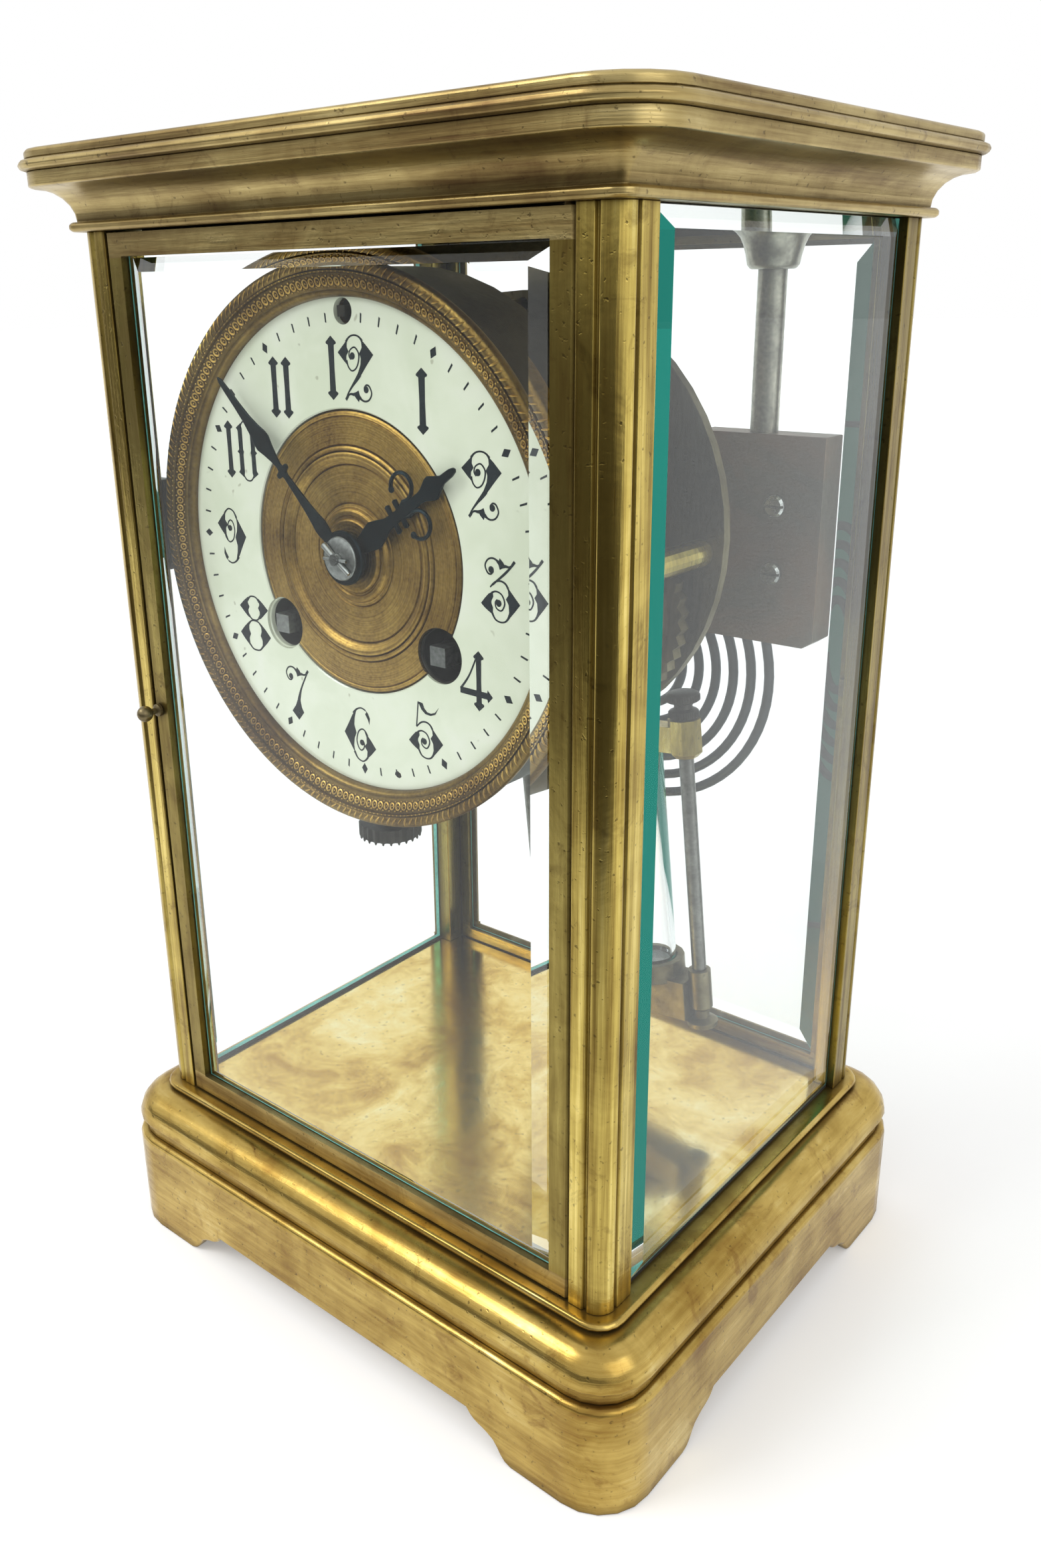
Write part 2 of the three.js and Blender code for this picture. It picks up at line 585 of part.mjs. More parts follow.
function plinth() {
  const outer = PLINTH_OVERHANG;
  const inner = PLINTH_OVERHANG - BASE_WALL;
  const shoulder = PLINTH_HEIGHT - PLINTH_ROUNDING;
  const edge = [];
  const steps = 4;
  for (let step = 0; step <= steps; step += 1) {
    const angle = (Math.PI / 2) * (step / steps);
    const overhang = outer - PLINTH_ROUNDING * (1 - Math.cos(angle));
    edge.push([overhang, shoulder + PLINTH_ROUNDING * Math.sin(angle), baseCorner(overhang)]);
  }
  const body = runRound([
    [outer, 0, PLINTH_CORNER],
    ...edge,
    [inner, PLINTH_HEIGHT, PLINTH_CORNER - BASE_WALL],
    [inner, 0, PLINTH_CORNER - BASE_WALL],
  ], true);
  const reachY = HALF_DEPTH + outer + 1;
  const reachX = HALF_WIDTH + outer + 1;
  const frontGap = plateXZ(apronShape(HALF_WIDTH + outer), -reachY, reachY, 5);
  const sideGap = plateXZ(apronShape(HALF_DEPTH + outer), -reachX, reachX, 5).rotate([0, 0, 90]);
  return cut(body, frontGap, sideGap);
}

function baseMoulding() {
  const neckTop = PLINTH_HEIGHT + NECK_HEIGHT;
  const top = neckTop + OVOLO_HEIGHT;
  const inner = LEDGE_OVERHANG - BASE_WALL;
  const ovolo = [];
  const steps = 7;
  for (let step = 0; step <= steps; step += 1) {
    const angle = (Math.PI / 2) * (step / steps);
    const overhang = THREE.MathUtils.lerp(LEDGE_OVERHANG + OVOLO_STEP, OVOLO_OVERHANG, Math.cos(angle));
    const height = neckTop + OVOLO_STEP + (OVOLO_HEIGHT - OVOLO_STEP) * Math.sin(angle);
    ovolo.push([overhang, height, baseCorner(overhang)]);
  }
  return runRound([
    [NECK_OVERHANG, PLINTH_HEIGHT, baseCorner(NECK_OVERHANG)],
    [NECK_OVERHANG, neckTop, baseCorner(NECK_OVERHANG)],
    ...ovolo,
    [inner, top, LEDGE_CORNER - BASE_WALL],
    [NECK_OVERHANG - BASE_WALL, PLINTH_HEIGHT, baseCorner(NECK_OVERHANG) - BASE_WALL],
  ], true);
}

function hingeHoles(low, high) {
  const hole = (x, y) => rod(PIN_RADIUS + FIT_GAP, low, high, 'z', [x, y, 0], TINY);
  return [hole(HINGE_X, HINGE_Y), hole(-HINGE_X, -HINGE_Y)];
}

function floorPlate() {
  const bottom = FLOOR_TOP - LEDGE_THICKNESS;
  const edge = [];
  const steps = 4;
  for (let step = 0; step <= steps; step += 1) {
    const angle = Math.PI * (step / steps) - Math.PI / 2;
    const overhang = LEDGE_OVERHANG - LEDGE_THICKNESS / 2 + (LEDGE_THICKNESS / 2) * Math.cos(angle);
    edge.push([overhang, bottom + (LEDGE_THICKNESS / 2) * (1 + Math.sin(angle)), LEDGE_CORNER]);
  }
  return cut(runRound(edge), ...hingeHoles(FLOOR_TOP - PIN_LENGTH - FIT_GAP, FLOOR_TOP + 1));
}

// The pillar's section in its own corner: x and y run from the inner corner to the outer corner.
function pillarShape() {
  const beadX = PILLAR_WIDTH - BEAD_RADIUS;
  const beadY = PILLAR_DEPTH - BEAD_RADIUS;
  const shape = new THREE.Shape();
  shape.moveTo(0, 0);
  shape.lineTo(PILLAR_WIDTH, 0);
  shape.lineTo(PILLAR_WIDTH, beadY - PILLAR_QUIRK);
  shape.lineTo(PILLAR_WIDTH - PILLAR_QUIRK, beadY - PILLAR_QUIRK * 0.6);
  shape.absarc(beadX, beadY, BEAD_RADIUS, radians(4), radians(86), false);
  shape.lineTo(PILLAR_FLAT + PILLAR_QUIRK * 0.4, PILLAR_DEPTH - PILLAR_QUIRK);
  shape.lineTo(PILLAR_FLAT, PILLAR_DEPTH);
  shape.lineTo(0, PILLAR_DEPTH);
  shape.closePath();
  return shape;
}

function pillar(sideX, sideY) {
  const geometry = new THREE.ExtrudeGeometry(pillarShape(), {
    depth: CORNICE_BOTTOM - FLOOR_TOP,
    bevelEnabled: false,
    curveSegments: 7,
  });
  geometry.scale(sideX, sideY, 1);
  geometry.translate(sideX * PILLAR_INNER_X, sideY * PILLAR_INNER_Y, FLOOR_TOP);
  const body = solid(geometry);
  const takesTongue = sideX * sideY > 0;
  return takesTongue ? cut(body, tongueSlot(sideX, sideY)) : body;
}

// The slot that a turned door catch swings its tongue into.
function tongueSlot(sideX, sideY) {
  const corner = Math.hypot(TONGUE_LENGTH, TONGUE_WIDTH / 2);
  const reach = Math.min(PILLAR_INNER_X - Math.abs(CATCH_X), corner);
  const halfHeight = Math.sqrt(corner ** 2 - reach ** 2) + FIT_GAP;
  const inner = Math.abs(DOOR_FRONT_Y) - DOOR_DEPTH - FIT_GAP * 2 - TONGUE_THICKNESS;
  const outer = Math.abs(DOOR_FRONT_Y) - DOOR_DEPTH + FIT_GAP;
  const tip = Math.abs(CATCH_X) + corner + FIT_GAP;
  const across = [sideX * (PILLAR_INNER_X - 1), sideX * tip].sort((a, b) => a - b);
  const deep = [sideY * inner, sideY * outer].sort((a, b) => a - b);
  return box(
    [across[0], deep[0], CATCH_HEIGHT - halfHeight],
    [across[1], deep[1], CATCH_HEIGHT + halfHeight],
  );
}

function corniceLower() {
  const coveTop = CORNICE_BOTTOM + CORNICE_FILLET + COVE_HEIGHT;
  const corner = corniceCorner(FILLET_OVERHANG);
  const top = coveTop + FASCIA_HEIGHT;
  const hollowMoulding = cove(COVE_FOOT_OVERHANG, FASCIA_OVERHANG - COVE_STEP,
    CORNICE_BOTTOM + CORNICE_FILLET, coveTop - COVE_STEP / 2, corniceCorner);
  const outside = runRound([
    [FILLET_OVERHANG - FILLET_ROUNDING, CORNICE_BOTTOM, corner],
    [FILLET_OVERHANG, CORNICE_BOTTOM + FILLET_ROUNDING, corner],
    [FILLET_OVERHANG, CORNICE_BOTTOM + CORNICE_FILLET - FILLET_ROUNDING, corner],
    [FILLET_OVERHANG - FILLET_ROUNDING, CORNICE_BOTTOM + CORNICE_FILLET, corner],
    ...hollowMoulding,
    [FASCIA_OVERHANG, coveTop, corniceCorner(FASCIA_OVERHANG)],
    [FASCIA_OVERHANG, top, corniceCorner(FASCIA_OVERHANG)],
  ]);
  const hollowTop = FASCIA_OVERHANG - CORNICE_WALL;
  const hollow = runRound([
    [-CORNICE_WALL, CORNICE_BOTTOM + CORNICE_FILLET + CORNICE_WALL, CORNICE_INNER_CORNER],
    [-CORNICE_WALL, coveTop - CORNICE_WALL, CORNICE_INNER_CORNER],
    [hollowTop, coveTop + CORNICE_WALL * 0.5, CORNICE_OUTER_CORNER - CORNICE_WALL],
    [hollowTop, top + 1, CORNICE_OUTER_CORNER - CORNICE_WALL],
  ]);
  return cut(outside, hollow, ...hingeHoles(CORNICE_BOTTOM - 1, CORNICE_BOTTOM + PIN_LENGTH + FIT_GAP));
}

function corniceBead() {
  const bottom = CASE_HEIGHT - CAP_THICKNESS - CORNICE_BEAD;
  const levels = [];
  const steps = 4;
  for (let step = 0; step <= steps; step += 1) {
    const angle = Math.PI * (step / steps) - Math.PI / 2;
    const overhang = BEAD_OVERHANG - CORNICE_BEAD / 2 + (CORNICE_BEAD / 2) * Math.cos(angle);
    const height = bottom + (CORNICE_BEAD / 2) * (1 + Math.sin(angle));
    levels.push([overhang, height, CORNICE_OUTER_CORNER]);
  }
  return runRound(levels);
}

function topCap() {
  const bottom = CASE_HEIGHT - CAP_THICKNESS;
  return runRound([
    [CAP_OVERHANG, bottom, CORNICE_OUTER_CORNER - 1],
    [CAP_OVERHANG, CASE_HEIGHT - CAP_ROUNDING, CORNICE_OUTER_CORNER - 1],
    [CAP_OVERHANG - CAP_ROUNDING, CASE_HEIGHT, CORNICE_OUTER_CORNER - 1],
  ]);
}

// A pane with its outer face bevelled along all four edges, drawn facing -Y round its own middle.
function bevelledPane(width, height, thickness, edge, bevel) {
  const pane = (halfX, halfZ, y) => [
    [-halfX, y, -halfZ], [halfX, y, -halfZ], [halfX, y, halfZ], [-halfX, y, halfZ],
  ];
  const loops = [
    pane(width / 2 - bevel, height / 2 - bevel, 0),
    pane(width / 2, height / 2, thickness - edge),
    pane(width / 2, height / 2, thickness),
  ];
  const indices = [0, 2, 1, 0, 3, 2, 8, 9, 10, 8, 10, 11];
  for (let band = 0; band < 2; band += 1) {
    for (let i = 0; i < 4; i += 1) {
      const j = (i + 1) % 4;
      const [a, b, c, d] = [band * 4 + i, band * 4 + j, band * 4 + 4 + j, band * 4 + 4 + i];
      indices.push(a, b, c, a, c, d);
    }
  }
  const geometry = new THREE.BufferGeometry();
  geometry.setAttribute('position', new THREE.Float32BufferAttribute(loops.flat(2), 3));
  geometry.setIndex(indices);
  return solid(geometry);
}

function buildCase() {
  const group = new THREE.Group();
  part('base_plinth', 'goldenBrass', plinth(), group);
  part('base_moulding', 'goldenBrass', baseMoulding(), group);
  part('floor_plate', 'goldenBrass', floorPlate(), group);
  const corners = [
    ['front_left', -1, -1], ['front_right', 1, -1], ['rear_left', -1, 1], ['rear_right', 1, 1],
  ];
  for (const [name, sideX, sideY] of corners) {
    part(`pillar_${name}`, 'agedBrass', pillar(sideX, sideY), group);
  }
  part('cornice_lower', 'agedBrass', corniceLower(), group);
  part('cornice_bead', 'agedBrass', corniceBead(), group);
  part('top_cap', 'agedBrass', topCap(), group);
  buildSideGlass('right', 90, group);
  buildSideGlass('left', -90, group);
  return group;
}

// A side pane stands on its packing strip, between the pillars.
function buildSideGlass(side, turn, group) {
  const bottom = FLOOR_TOP + PACKING_HEIGHT;
  const top = CORNICE_BOTTOM - FIT_GAP;
  const width = 2 * (PILLAR_INNER_Y - FIT_GAP);
  const face = SIDE_GLASS_INSET - HALF_WIDTH;
  const back = face + SIDE_GLASS_THICKNESS;
  const pane = bevelledPane(width, top - bottom, SIDE_GLASS_THICKNESS, SIDE_GLASS_EDGE, SIDE_GLASS_BEVEL)
    .translate([0, face, (top + bottom) / 2]);
  const strip = box([-width / 2, back - SIDE_GLASS_EDGE, FLOOR_TOP], [width / 2, back, bottom]);
  part(`side_glass_${side}`, 'glass', pane.rotate([0, 0, turn]), group);
  part(`glass_packing_${side}`, 'packing', strip.rotate([0, 0, turn]), group);
}

// Doors: drawn as the front door, hinged at its right, in a group whose origin is the middle of the case.

function doorFrame() {
  const back = DOOR_FRONT_Y + DOOR_DEPTH;
  const openX = DOOR_HALF_WIDTH - DOOR_RAIL;
  const openLow = DOOR_BOTTOM + DOOR_RAIL;
  const openHigh = DOOR_TOP - DOOR_RAIL;
  const chamfer = DOOR_EDGE_CHAMFER;
  const outline = new THREE.Shape([
    [-DOOR_HALF_WIDTH + chamfer, -DOOR_FRONT_Y],
    [DOOR_HALF_WIDTH - chamfer, -DOOR_FRONT_Y],
    [DOOR_HALF_WIDTH, -DOOR_FRONT_Y - chamfer],
    [DOOR_HALF_WIDTH, -back],
    [-DOOR_HALF_WIDTH, -back],
    [-DOOR_HALF_WIDTH, -DOOR_FRONT_Y - chamfer],
  ].map(([x, forward]) => new THREE.Vector2(x, -forward)));
  const slab = new THREE.ExtrudeGeometry(outline, { depth: DOOR_TOP - DOOR_BOTTOM, bevelEnabled: false });
  slab.translate(0, 0, DOOR_BOTTOM);
  const opening = box([-openX, DOOR_FRONT_Y - 1, openLow], [openX, back + 1, openHigh]);
  const rebate = box(
    [-openX - DOOR_REBATE, DOOR_FRONT_Y + DOOR_LIP, openLow - DOOR_REBATE],
    [openX + DOOR_REBATE, back + 1, openHigh + DOOR_REBATE],
  );
  const catchHole = rod(CATCH_SHAFT_RADIUS + FIT_GAP, DOOR_FRONT_Y - 1, back + 1, 'y',
    [CATCH_X, 0, CATCH_HEIGHT], TINY);
  const pins = rod(PIN_RADIUS, DOOR_BOTTOM - DOOR_END_GAP - PIN_LENGTH, DOOR_BOTTOM + 1, 'z',
    [HINGE_X, HINGE_Y, 0], TINY);
  const topPin = rod(PIN_RADIUS, DOOR_TOP - 1, DOOR_TOP + DOOR_END_GAP + PIN_LENGTH, 'z',
    [HINGE_X, HINGE_Y, 0], TINY);
  return join(cut(solid(slab), opening, rebate, catchHole), pins, topPin);
}

function doorCatch() {
  const at = [CATCH_X, 0, CATCH_HEIGHT];
  const face = DOOR_FRONT_Y - FIT_GAP;
  const inside = DOOR_FRONT_Y + DOOR_DEPTH + FIT_GAP;
  const ballY = DOOR_FRONT_Y - CATCH_REACH;
  const knob = [[0, ballY - CATCH_BALL_RADIUS]];
  const steps = 4;
  for (let step = 1; step < steps; step += 1) {
    const angle = Math.PI * (step / steps);
    knob.push([CATCH_BALL_RADIUS * Math.sin(angle), ballY - CATCH_BALL_RADIUS * Math.cos(angle)]);
  }
  knob.push([CATCH_SHAFT_RADIUS, ballY + CATCH_BALL_RADIUS]);
  knob.push([CATCH_SHAFT_RADIUS, face - 1], [CATCH_COLLAR_RADIUS, face - 0.8], [CATCH_COLLAR_RADIUS, face]);
  knob.push([CATCH_SHAFT_RADIUS, face], [CATCH_SHAFT_RADIUS, inside + 0.3], [0, inside + 0.3]);
  const half = TONGUE_WIDTH / 2;
  const tongue = box(
    [CATCH_X - half, inside, CATCH_HEIGHT - half],
    [CATCH_X + half, inside + TONGUE_THICKNESS, CATCH_HEIGHT + TONGUE_LENGTH],
  );
  return join(turned(knob, 'y', at, TINY), tongue);
}

function buildDoor(prefix, turn) {
  const group = new THREE.Group();
  group.rotation.z = turn;
  part(`${prefix}_door_frame`, 'agedBrass', doorFrame(), group);
  const width = 2 * (DOOR_HALF_WIDTH - DOOR_RAIL + DOOR_REBATE - FIT_GAP);
  const height = DOOR_TOP - DOOR_BOTTOM - 2 * (DOOR_RAIL - DOOR_REBATE + FIT_GAP);
  const pane = bevelledPane(width, height, DOOR_GLASS_THICKNESS, DOOR_GLASS_EDGE, DOOR_GLASS_BEVEL);
  const bevelled = DOOR_GLASS_THICKNESS - DOOR_GLASS_EDGE;
  const underLip = bevelled * (1 - (DOOR_REBATE - FIT_GAP) / DOOR_GLASS_BEVEL);
  const glass = part(`${prefix}_door_glass`, 'glass', pane, group);
  glass.position.set(0, DOOR_FRONT_Y + DOOR_LIP + FIT_GAP - underLip, (DOOR_TOP + DOOR_BOTTOM) / 2);
  part(`${prefix}_door_catch`, 'agedBrass', doorCatch(), group);
  return group;
}

// Dial, in a group whose origin is the dial's middle: X across, Z up, Y along the arbors.

function bezel() {
  const front = BEZEL_FRONT_Y;
  const recess = ENAMEL_RADIUS + FIT_GAP;
  return turned([
    [ENAMEL_OPENING, ENAMEL_FACE_Y],
    [ENAMEL_OPENING + 0.6, BEZEL_BACK_Y - 0.8],
    [BEZEL_RADIUS - 3, front + 0.9],
    [BEZEL_RADIUS - 2.2, front],
    [BEZEL_RADIUS - 0.7, front + 0.4],
    [BEZEL_RADIUS, front + 1.5],
    [BEZEL_RADIUS - 0.4, BEZEL_BACK_Y],
    [recess, BEZEL_BACK_Y],
    [recess, ENAMEL_FACE_Y],
    [ENAMEL_OPENING, ENAMEL_FACE_Y],
  ], 'y', [0, 0, 0], FINE);
}

function drum() {
  const inner = DRUM_RADIUS - DRUM_WALL;
  const shell = turned([
    [DRUM_RADIUS, BEZEL_BACK_Y],
    [DRUM_RADIUS, DRUM_BACK_Y],
    [inner, DRUM_BACK_Y],
    [inner, FRONT_PLATE_Y],
    [DRUM_RING_RADIUS, FRONT_PLATE_Y],
    [DRUM_RING_RADIUS, DIAL_PLATE_BACK_Y],
    [inner, DIAL_PLATE_BACK_Y],
    [inner, BEZEL_BACK_Y],
    [DRUM_RADIUS, BEZEL_BACK_Y],
  ], 'y', [0, 0, 0], FINE);
  const regulatorWay = rod(REGULATOR_SQUARE, DIAL_PLATE_BACK_Y - 1, FRONT_PLATE_Y + 1, 'y',
    [0, 0, REGULATOR_RISE], TINY);
  const thumbHole = rod(THUMB_SHANK_RADIUS + FIT_GAP, -DRUM_RADIUS - 1, -DRUM_RING_RADIUS + 1, 'z',
    [0, THUMB_Y, 0], TINY);
  return cut(shell, regulatorWay, thumbHole);
}

function windingHoles(radius, low, high) {
  return [-1, 1].map((side) => rod(radius, low, high, 'y', [side * WINDING_X, 0, -WINDING_DROP]));
}

function dialRing() {
  const disc = ring(CENTRE_RADIUS, ENAMEL_RADIUS, ENAMEL_FACE_Y, DIAL_PLATE_FRONT_Y);
  const regulator = rod(REGULATOR_HOLE, ENAMEL_FACE_Y - 1, DIAL_PLATE_FRONT_Y + 1, 'y',
    [0, 0, REGULATOR_RISE], SMALL);
  return cut(disc, ...windingHoles(WINDING_HOLE, ENAMEL_FACE_Y - 1, DIAL_PLATE_FRONT_Y + 1), regulator);
}

// The gilt middle of the dial stands forward through the enamel ring, on the plate behind it.
function dialCentre() {
  const face = ENAMEL_FACE_Y;
  const edge = CENTRE_RADIUS - FIT_GAP;
  const groove = CENTRE_RADIUS - CENTRE_RING_WIDTH - CENTRE_GROOVE_WIDTH;
  const bore = HOUR_PIPE_RADIUS + FIT_GAP;
  const disc = turned([
    [bore, face - 0.9],
    [CENTRE_BOSS_TOP, face - 0.9],
    [CENTRE_BOSS_FOOT, face + 0.3],
    [groove - CENTRE_SLOPE_WIDTH, face + 0.3],
    [groove, face - 0.7],
    [groove + CENTRE_GROOVE_WIDTH, face - 0.2],
    [edge, face + 0.2],
    [edge, DIAL_PLATE_FRONT_Y],
    [ENAMEL_RADIUS, DIAL_PLATE_FRONT_Y],
    [ENAMEL_RADIUS, DIAL_PLATE_BACK_Y],
    [bore, DIAL_PLATE_BACK_Y],
    [bore, face - 0.9],
  ], 'y', [0, 0, 0], MEDIUM);
  const regulator = rod(REGULATOR_HOLE, face - 1, DIAL_PLATE_BACK_Y + 1, 'y',
    [0, 0, REGULATOR_RISE], SMALL);
  return cut(disc, ...windingHoles(WINDING_HOLE, face - 2, DIAL_PLATE_BACK_Y + 1), regulator);
}

function buildDial(group) {
  part('bezel', 'giltBrass', bezel(), group);
  part('drum', 'darkDrum', drum(), group);
  part('dial_ring', 'enamel', dialRing(), group);
  part('dial_centre', 'giltBrass', dialCentre(), group);
}

// Movement

function movementPlate(radius, lowY, facets) {
  const disc = rod(radius, lowY, lowY + PLATE_THICKNESS, 'y', [0, 0, 0], facets);
  const through = (r, x, z) => rod(r, lowY - 1, lowY + PLATE_THICKNESS + 1, 'y', [x, 0, z], TINY);
  return cut(
    disc,
    through(CENTRE_ARBOR_RADIUS + FIT_GAP, 0, 0),
    through(BARREL_ARBOR_RADIUS + FIT_GAP, WINDING_X, -WINDING_DROP),
    through(BARREL_ARBOR_RADIUS + FIT_GAP, -WINDING_X, -WINDING_DROP),
    through(REGULATOR_SQUARE / 2 + FIT_GAP, 0, REGULATOR_RISE),
    through(PALLET_ARBOR_RADIUS + FIT_GAP, 0, PIVOT_RISE),
    through(PALLET_ARBOR_RADIUS + FIT_GAP, 0, ESCAPE_RISE),
    through(HAMMER_STEM_RADIUS + FIT_GAP, HAMMER_X, HAMMER_RISE),
  );
}

function barrel(side) {
  const at = [side * WINDING_X, 0, -WINDING_DROP];
  const wheelBack = BACK_PLATE_Y - WHEEL_TO_PLATE;
  const wheelFront = wheelBack - GREAT_WHEEL_THICKNESS;
  const body = rod(BARREL_RADIUS, BARREL_FRONT_Y, wheelFront + 0.5, 'y', at, MEDIUM);
  const wheel = plateXZ(toothedShape(GREAT_WHEEL_RADIUS, GREAT_WHEEL_TEETH, TOOTH_DEPTH), wheelFront, wheelBack)
    .translate(at);
  const bore = rod(BARREL_ARBOR_RADIUS + FIT_GAP, BARREL_FRONT_Y - 1, wheelBack + 1, 'y', at);
  return cut(join(body, wheel), bore);
}

function windingArbor(side) {
  const x = side * WINDING_X;
  const squareTip = ENAMEL_FACE_Y - WINDING_PROUD;
  const squareRoot = FRONT_PLATE_Y - 0.5;
  const shaft = rod(BARREL_ARBOR_RADIUS, squareRoot, BACK_PLATE_REAR_Y + 0.5, 'y', [x, 0, -WINDING_DROP], SMALL);
  return join(shaft, squareBar(WINDING_SQUARE, squareTip, squareRoot + 0.5, x, -WINDING_DROP));
}

function centreArbor() {
  const arbor = rod(CENTRE_ARBOR_RADIUS, ARBOR_TIP_Y, BACK_PLATE_REAR_Y, 'y', [0, 0, 0], SMALL);
  const wheelY = FRONT_PLATE_REAR_Y + CENTRE_WHEEL_TO_PLATE;
  const wheel = plateXZ(toothedShape(CENTRE_WHEEL_RADIUS, CENTRE_WHEEL_TEETH, TOOTH_DEPTH),
    wheelY, wheelY + WHEEL_THICKNESS);
  const cannonBack = FRONT_PLATE_Y - FIT_GAP;
  const cannon = plateXZ(toothedShape(CANNON_RADIUS, CANNON_TEETH, TOOTH_DEPTH), cannonBack - CANNON_LENGTH, cannonBack);
  const pin = rod(HAND_PIN_RADIUS, -HAND_PIN_LENGTH / 2, HAND_PIN_LENGTH / 2, 'x', [0, HAND_PIN_Y, 0], TINY);
  return join(arbor, wheel, cannon, pin);
}

function hourPipe() {
  const bore = CENTRE_ARBOR_RADIUS + FIT_GAP;
  const wheelBack = FRONT_PLATE_Y - HOUR_WHEEL_TO_PLATE;
  const pipeFront = HOUR_HAND_Y + HAND_THICKNESS + COLLET_GAP;
  const pipe = ring(bore, HOUR_PIPE_RADIUS, pipeFront, wheelBack, 'y', [0, 0, 0], SMALL);
  const wheel = plateXZ(toothedShape(HOUR_WHEEL_RADIUS, HOUR_WHEEL_TEETH, TOOTH_DEPTH),
    wheelBack - WHEEL_THICKNESS, wheelBack);
  const bored = cut(wheel, rod(bore + 0.5, wheelBack - 3, wheelBack + 1, 'y', [0, 0, 0]));
  return join(pipe, bored);
}

function escapeWheel() {
  const at = [0, 0, ESCAPE_RISE];
  const arbor = rod(ESCAPE_ARBOR_RADIUS, FRONT_PLATE_Y, BACK_PLATE_REAR_Y, 'y', at, TINY);
  const shape = toothedShape(ESCAPE_RADIUS, ESCAPE_TEETH, ESCAPE_TOOTH);
  const wheel = plateXZ(shape, ESCAPE_Y, ESCAPE_Y + ESCAPE_THICKNESS).translate(at);
  return join(arbor, wheel);
}

function suspensionCock() {
  const low = PIVOT_RISE + COCK_RISE;
  const high = low + COCK_HEIGHT;
  const block = box(
    [-COCK_WIDTH / 2, BACK_PLATE_REAR_Y, low],
    [COCK_WIDTH / 2, PENDULUM_Y + COCK_OVERHANG, high],
  );
  const foot = box(
    [-COCK_FOOT_WIDTH / 2, BACK_PLATE_REAR_Y, low],
    [COCK_FOOT_WIDTH / 2, BACK_PLATE_REAR_Y + COCK_FOOT_THICKNESS, high],
  );
  const way = rod(REGULATOR_SQUARE / 2 + FIT_GAP, BACK_PLATE_REAR_Y - 1, BACK_PLATE_REAR_Y + 4, 'y',
    [0, 0, REGULATOR_RISE], TINY);
  return cut(join(block, foot), way);
}

function regulatorArbor() {
  const at = [0, 0, REGULATOR_RISE];
  const shaft = rod(REGULATOR_SQUARE / 2, ENAMEL_FACE_Y + 3, BACK_PLATE_REAR_Y + 2, 'y', at, TINY);
  const square = squareBar(REGULATOR_SQUARE * 0.8, ENAMEL_FACE_Y - 0.4, ENAMEL_FACE_Y + 3.5, 0, REGULATOR_RISE);
  return join(shaft, square);
}

function hammer() {
  const at = [HAMMER_X, 0, HAMMER_RISE];
  const arbor = rod(HAMMER_STEM_RADIUS, FRONT_PLATE_Y, GONG_Y + HAMMER_STEM_RADIUS, 'y', at, TINY);
  const headZ = GONG_HEIGHT - DIAL_HEIGHT;
  const stem = rod(HAMMER_STEM_RADIUS, headZ, HAMMER_RISE, 'z', [HAMMER_X, GONG_Y, 0], TINY);
  const head = rod(HAMMER_HEAD_RADIUS, -HAMMER_HEAD_LENGTH / 2, HAMMER_HEAD_LENGTH / 2, 'x',
    [HAMMER_X, GONG_Y, headZ], SMALL);
  return join(arbor, stem, head);
}

function buildMovement(group) {
  part('front_plate', 'plateBrass', movementPlate(FRONT_PLATE_RADIUS, FRONT_PLATE_Y, MEDIUM), group);
  part('back_plate', 'plateBrass', movementPlate(BACK_PLATE_RADIUS, BACK_PLATE_Y, FINE), group);
  MOVEMENT_PILLAR_ANGLES.forEach((degrees, index) => {
    const angle = radians(degrees);
    const at = [MOVEMENT_PILLAR_CIRCLE * Math.cos(angle), 0, MOVEMENT_PILLAR_CIRCLE * Math.sin(angle)];
    const post = rod(MOVEMENT_PILLAR_RADIUS, FRONT_PLATE_REAR_Y, BACK_PLATE_Y, 'y', at, 16);
    part(`movement_pillar_${index + 1}`, 'plateBrass', post, group);
  });
  part('going_barrel', 'plateBrass', barrel(1), group);
  part('strike_barrel', 'plateBrass', barrel(-1), group);
  part('going_arbor', 'steel', windingArbor(1), group);
  part('strike_arbor', 'steel', windingArbor(-1), group);
  part('escape_wheel', 'plateBrass', escapeWheel(), group);
  part('suspension_cock', 'plateBrass', suspensionCock(), group);
  part('regulator_arbor', 'steel', regulatorArbor(), group);
  part('hammer', 'steel', hammer(), group);
}

// Hands: drawn pointing up, then turned to the time shown.

// A hand's outline is a list of [half width, share of its length].
function bladeShape(outline, length) {
  const right = outline.map(([half, share]) => [half, share * length]);
  const left = right.slice().reverse().filter(([half]) => half > 0).map(([half, along]) => [-half, along]);
  return polygon([...right, ...left]);
}

function minuteHand() {
  const back = MINUTE_HAND_Y + HAND_THICKNESS;
  const blade = bladeShape([
    [1.5, (HAND_BOSS_RADIUS - 1) / MINUTE_HAND_LENGTH], [2.3, 0.173], [1.5, 0.265], [0.75, 0.448], [1.9, 0.477],
    [0.75, 0.505], [1.1, 0.53], [2.4, 0.631], [0.8, 0.815], [0, 1],
  ], MINUTE_HAND_LENGTH);
  const boss = rod(HAND_BOSS_RADIUS, MINUTE_HAND_Y, MINUTE_HAND_Y + HAND_THICKNESS * 1.6, 'y', [0, 0, 0], SMALL);
  const hole = rod(CENTRE_ARBOR_RADIUS + FIT_GAP / 3, MINUTE_HAND_Y - 1, back + 1, 'y', [0, 0, 0], SMALL);
  return cut(join(boss, plateXZ(blade, MINUTE_HAND_Y, back)), hole);
}

